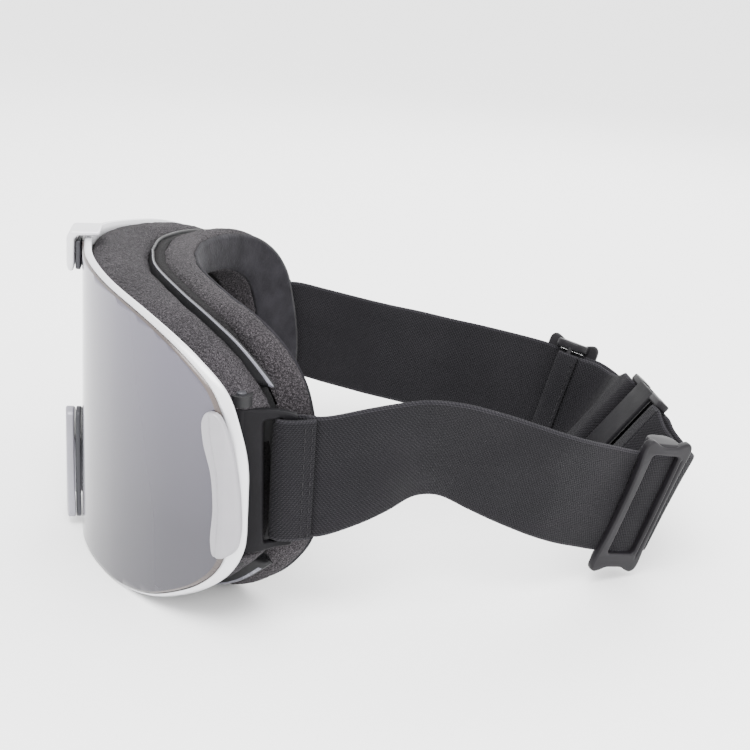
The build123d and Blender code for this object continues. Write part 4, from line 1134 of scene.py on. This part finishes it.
def hardware():
    for side, nm in SIDES:
        # ---- ladder-lock slider: dog-bone frame, thick front rail, doubled rear rail
        body = nm + "_slider_set"

        def sm(a, b, c, side=side):
            dome = 0.35 * (1 - (b / 24.5) ** 2) - 0.45 * math.exp(-((a - 7.4) / 0.32) ** 2) * (c > 0) * float(ease(19.5 - abs(b), 0, 1.5))
            return flip(at_slider(a, b, 2.1 + c + dome - 0.35, side), side)
        half = [(0, 22.9), (3.5, 23.3), (6.2, 24.5), (8.2, 24.9), (9.7, 23.7), (10.1, 21.0), (9.6, 16), (9.2, 8), (9.1, 0)]
        q = half + [(a, -b) for a, b in half[::-1][1:]]
        outer = q + [(-a, b) for a, b in q[::-1][1:-1]]
        win = round_poly([(-5.9, -17.6), (5.9, -17.6), (5.9, 20.0), (-5.9, 20.0)], 1.5)
        slot_ = round_poly([(7.5, -18.5), (7.95, -18.5), (7.95, 19.5), (7.5, 19.5)], 0.2)
        o = plate2d(nm + "_slider_frame", catmull_closed(np.array(outer), 150), [win], 1.35, 0.75, M_GREYBLACK, sm, body,
                    nm + "_slider", cuts={1: np.arange(-24, 25, 2.0), 0: np.arange(6.4, 8.6, 0.16)}, res=4)
        # side cheeks that carry the middle bar
        for k, e in enumerate((1, -1)):
            def cm(a, b, c, e=e, side=side):
                return flip(at_slider(a, e * (22.1 + c), b, side), side)
            prof = round_poly([(-6.6, 2.4), (-6.0, -3.2), (-3.2, -4.9), (3.2, -4.9), (6.0, -3.2), (6.6, 2.4)], 1.6)
            plate2d(nm + "_slider_cheek_%d" % k, prof, [], 1.6, 0.8, M_GREYBLACK, cm, body, None)
        rod(nm + "_slider_bar", at_slider(0, -21.5, -4.05, side), at_slider(0, 21.5, -4.05, side), 0.95, M_GREYBLACK, body,
            squash=(1.0, 1.0), side=side, round_end=0.2)

        # ---- outrigger
        arm = nm + "_outrigger_arm"
        prof = catmull(np.array([(-24.4, 81.1), (-22, 81.5), (-18, 81.9), (-14.5, 81.5), (-11.5, 79.9), (-8.6, 78.55), (-4.4, 78.45)]), 120)

        def om(a, b, c, side=side, prof=prof):
            x = np.interp(a, prof[:, 0], prof[:, 1])
            k = 1.0 + 0.12 * math.exp(-((a + 21) / 2.6) ** 2)
            fwd = 2.8 * float(ease(b, -34.0, 2.0)) * float(1 - ease(a, -17.0, -9.0))
            return flip((x + c * k, a - fwd, b), side)
        outer = round_poly([(-24.2, -40.2), (-24.2, 2.4), (-20.5, 3.6), (-14.0, 3.2), (-8.0, 1.7), (-4.5, 0.9), (-4.5, -1.6),
                            (-5.0, -4.0), (-5.0, -35.6), (-4.5, -38.0), (-4.5, -40.2), (-9.0, -40.8), (-20.5, -41.6)],
                           [2.2, 2.6, 3, 3, 3, 1.6, 1.0, 0.8, 0.8, 1.0, 1.6, 3, 3])
        hole = round_poly([(-13.1, -38.6), (-8.9, -38.6), (-8.9, -0.2), (-13.1, -0.2)], 1.1)
        o = plate2d(nm + "_outrigger_plate", outer, [hole], 1.5, 0.7, M_BLACK, om, arm, nm + "_outrigger",
                    cuts={0: np.arange(-23.5, -5.0, 0.7)}, res=4)
        rod(nm + "_outrigger_barrel", (80.8, -21.0, -41.5), (80.8, -21.0, 3.5), 2.75, M_BLACK, arm, side=side,
            round_end=0.5, seg=28)

        # ---- side bracket, hooked over the lens end, with a fine ridge
        outl = [(87.2, 4.3), (89.2, 4.4), (91.6, -1), (93.3, -12), (94.2, -23), (94.3, -31), (93.4, -36.2), (91.2, -38.6),
                (89.4, -38.9), (88.6, -35), (88.9, -24), (88.2, -14), (86.2, -4.6), (85.9, 1.6)]
        cen = np.array([(-41.5, 89.9), (-34.7, 90.2), (-24, 90.4), (-13, 89.8), (-3, 88.2), (4.4, 87.7)])

        def bk(a, b, c, side=side, cen=cen):
            mid = np.interp(b, cen[:, 0], cen[:, 1])
            step = (0.34 * float(ease(a - mid, -0.15, 0.15)) - 0.3 * math.exp(-((a - mid) / 0.2) ** 2)) if c > 0 else 0.0
            over = max(0.0, a - 91.5)
            x, y, z = lens_point(min(a, 91.5), b, -1.2 - c - step)
            return flip((x + 0.35 * over, y + 1.6 * over, z), side)
        plate2d(nm + "_bracket_bar", catmull_closed(np.array(outl), 110), [], 1.05, 0.7, M_BRACKET, bk, "lens_carrier",
                nm + "_side_bracket", cuts={0: np.arange(86.2, 94.2, 0.22), 1: np.arange(-38, 4, 2.0)}, res=3)

    # ---- brow clip: hook over the lens edge, darker latch behind
    def tc(a, b, c):
        return (c * (1.0 + 0.06 * math.cos((b - 28) / 9)), a + 0.35 * (c / 7.0) ** 2, b)
    prof = round_poly([(-76.6, 35.6), (-67.2, 35.8), (-67.2, 34.3), (-74.0, 34.3), (-75.3, 33.0), (-75.3, 24.6), (-75.7, 22.4), (-77.2, 22.4),
                       (-77.8, 24.2), (-77.8, 33.8)], [1.8, 0.7, 0.7, 0.9, 0.5, 0.6, 0.7, 0.7, 1.0, 1.8])
    plate2d("top_clip_hook", prof, [], 6.6, 0.55, M_SILVER, tc, "lens_carrier", "top_clip",
            cuts={1: np.arange(23, 36, 1.5)})
    prof = round_poly([(-74.95, 32.2), (-73.3, 32.4), (-73.3, 22.7), (-74.95, 22.9)], 0.5)
    plate2d("top_catch_block", prof, [], 5.9, 0.4, M_CATCH, tc, "lens_carrier", "top_catch")
    # ---- nose clip and its rear plate: inverted V round the nose cut-out
    def vee(w):
        r = [(0, -26.6), (3.4, -28.2), (6.2, -36.0), (9.0 + w, -50.0), (12.0 + w, -61.6), (10.6 + w, -63.2), (9.2 + w, -62.8),
             (6.8, -59.6), (4.6, -48.0), (1.8, -39.2), (0, -38.0)]
        return round_poly(r + [(-a, b) for a, b in r[::-1][1:-1]], 1.2)
    def nf(a, b, c):
        return (a, -77.0 - c - 0.35 * math.exp(-(a / 2.6) ** 2) * (c > 0) + 0.012 * a * a, b)
    plate2d("nose_clip_front", vee(0.6), [], 1.3, 0.6, M_CLIP, nf, "lens_carrier", "nose_clip",
            cuts={0: np.arange(-11, 11.5, 1.0), 1: np.arange(-62, -27, 3.0)})
    def nr(a, b, c):
        return (a, -74.3 - c + 0.01 * a * a, b)
    plate2d("nose_catch_plate", vee(0.0), [], 0.8, 0.35, M_CATCH, nr, "lens_carrier", "nose_catch",
            cuts={0: np.arange(-11, 11.5, 2.0)})

    # ---- rear buckle: catch half (wearer's left) and hook half (wearer's right)
    H2 = 21.5

    def bm_(a, b, c):
        return at_buckle(a, c, b)
    prof = round_poly([(-9.0, -3.2), (6.0, -3.2), (6.0, 0.9), (4.4, 0.9), (4.4, -1.5), (-9.0, -1.5)], [0.8, 0.8, 0.5, 0.5, 0.5, 0.8])
    plate2d("buckle_catch_channel", prof, [], H2 - 0.2, 0.4, M_BLACK, bm_, "frame", "buckle_catch")
    prof = round_poly([(-6.0, 1.45), (-6.0, 3.2), (9.0, 3.2), (9.0, 1.45), (4.0, 1.45), (4.0, -1.1), (2.4, -1.1), (2.4, 1.45)],
                      [0.5, 0.8, 0.8, 0.5, 0.3, 0.4, 0.4, 0.3])
    plate2d("buckle_hook_cover", prof, [], H2 - 0.2, 0.4, M_GREYBLACK, bm_, "buckle_hook_half", "buckle_hook")
    for k, (u0_, body, w0, w1, mat) in enumerate(((-12.5, "frame", -3.2, 1.5, M_GREYBLACK),
                                                   (12.5, "buckle_hook_half", -1.5, 3.2, M_GREYBLACK))):
        for e in (1, -1):
            def am(a, b, c, e=e):
                return at_buckle(a, e * (H2 - 1.25 + c), b)
            s_ = -1 if u0_ < 0 else 1
            prof = round_poly([(u0_ - 5.1, w0), (u0_ + 5.1, w0), (u0_ + 5.1, w1), (u0_ - 5.1, w1)], 1.5)
            plate2d("buckle_arm_%d_%d" % (k, e > 0), prof, [], 1.35, 0.6, mat, am, body, None)
        ub = -15.8 if u0_ < 0 else 15.8
        rod("buckle_bar_%d" % k, at_buckle(ub, -H2 + 1.5, 0), at_buckle(ub, H2 - 1.5, 0), 1.2, M_BLACK, body,
            round_end=0.2)
    # grip ribs on the hook's cover
    for i, ur in enumerate((-3.6, -1.2, 1.2, 3.6, 6.0)):
        rod("buckle_rib_%d" % i, at_buckle(ur, -17.5, 3.2), at_buckle(ur, 17.5, 3.2), 0.5, M_GREYBLACK, "buckle_hook_half",
            round_end=0.3, seg=12)


hardware()


# ------------------------------------------------------------ camera and light
def stage():
    me = bpy.data.meshes.new("floor")
    s = 6.0
    me.from_pydata([(-s, -s, 0), (s, -s, 0), (s, s, 0), (-s, s, 0)], [], [(0, 1, 2, 3)])
    fl = bpy.data.objects.new("floor", me)
    COL.objects.link(fl)
    m = bpy.data.materials.new("floor_pale")
    m.use_nodes = True
    b = m.node_tree.nodes["Principled BSDF"]
    b.inputs["Base Color"].default_value = (0.985, 0.985, 0.985, 1)
    b.inputs["Roughness"].default_value = 0.9
    b.inputs["Specular IOR Level"].default_value = 0.1
    me.materials.append(m)
    w = bpy.data.worlds.new("world") if not sc.world else sc.world
    sc.world = w
    w.use_nodes = True
    w.node_tree.nodes["Background"].inputs[0].default_value = (1, 1, 1, 1)
    w.node_tree.nodes["Background"].inputs[1].default_value = 3.0

    def area(name, loc, target, size, power):
        l = bpy.data.lights.new(name, "AREA")
        l.shape = "DISK"
        l.size = size
        l.energy = power
        o = bpy.data.objects.new(name, l)
        o.location = loc
        d = Vector(target) - Vector(loc)
        o.rotation_euler = d.to_track_quat("-Z", "Y").to_euler()
        COL.objects.link(o)
    area("key", (0.5, -0.2, 1.0), (0, 0, 0.05), 0.7, 16)
    area("fill", (0.8, 0.7, 0.4), (0, 0, 0.05), 0.6, 6)
    area("back", (-0.8, 0.3, 0.7), (0, 0, 0.05), 0.6, 6)


stage()
cam = bpy.data.cameras.new("photo_view")
cam.sensor_width = 36.0
cam.lens = 1371.60 / 750 * 36.0
cam.clip_start = 0.01
co = bpy.data.objects.new("photo_view", cam)
COL.objects.link(co)
right, up, fwd = (0.1036747, 0.99245516, 0.06545473), (-0.3152167, -0.02963111, 0.94855702), (-0.9433398, 0.11897379, -0.30976645)
mw = Matrix.Identity(4)
for i in range(3):
    mw[i][0], mw[i][1], mw[i][2] = right[i], up[i], -fwd[i]
loc = P((449.91, -29.86, 135.28))
for i in range(3):
    mw[i][3] = loc[i]
co.matrix_world = mw
sc.camera = co
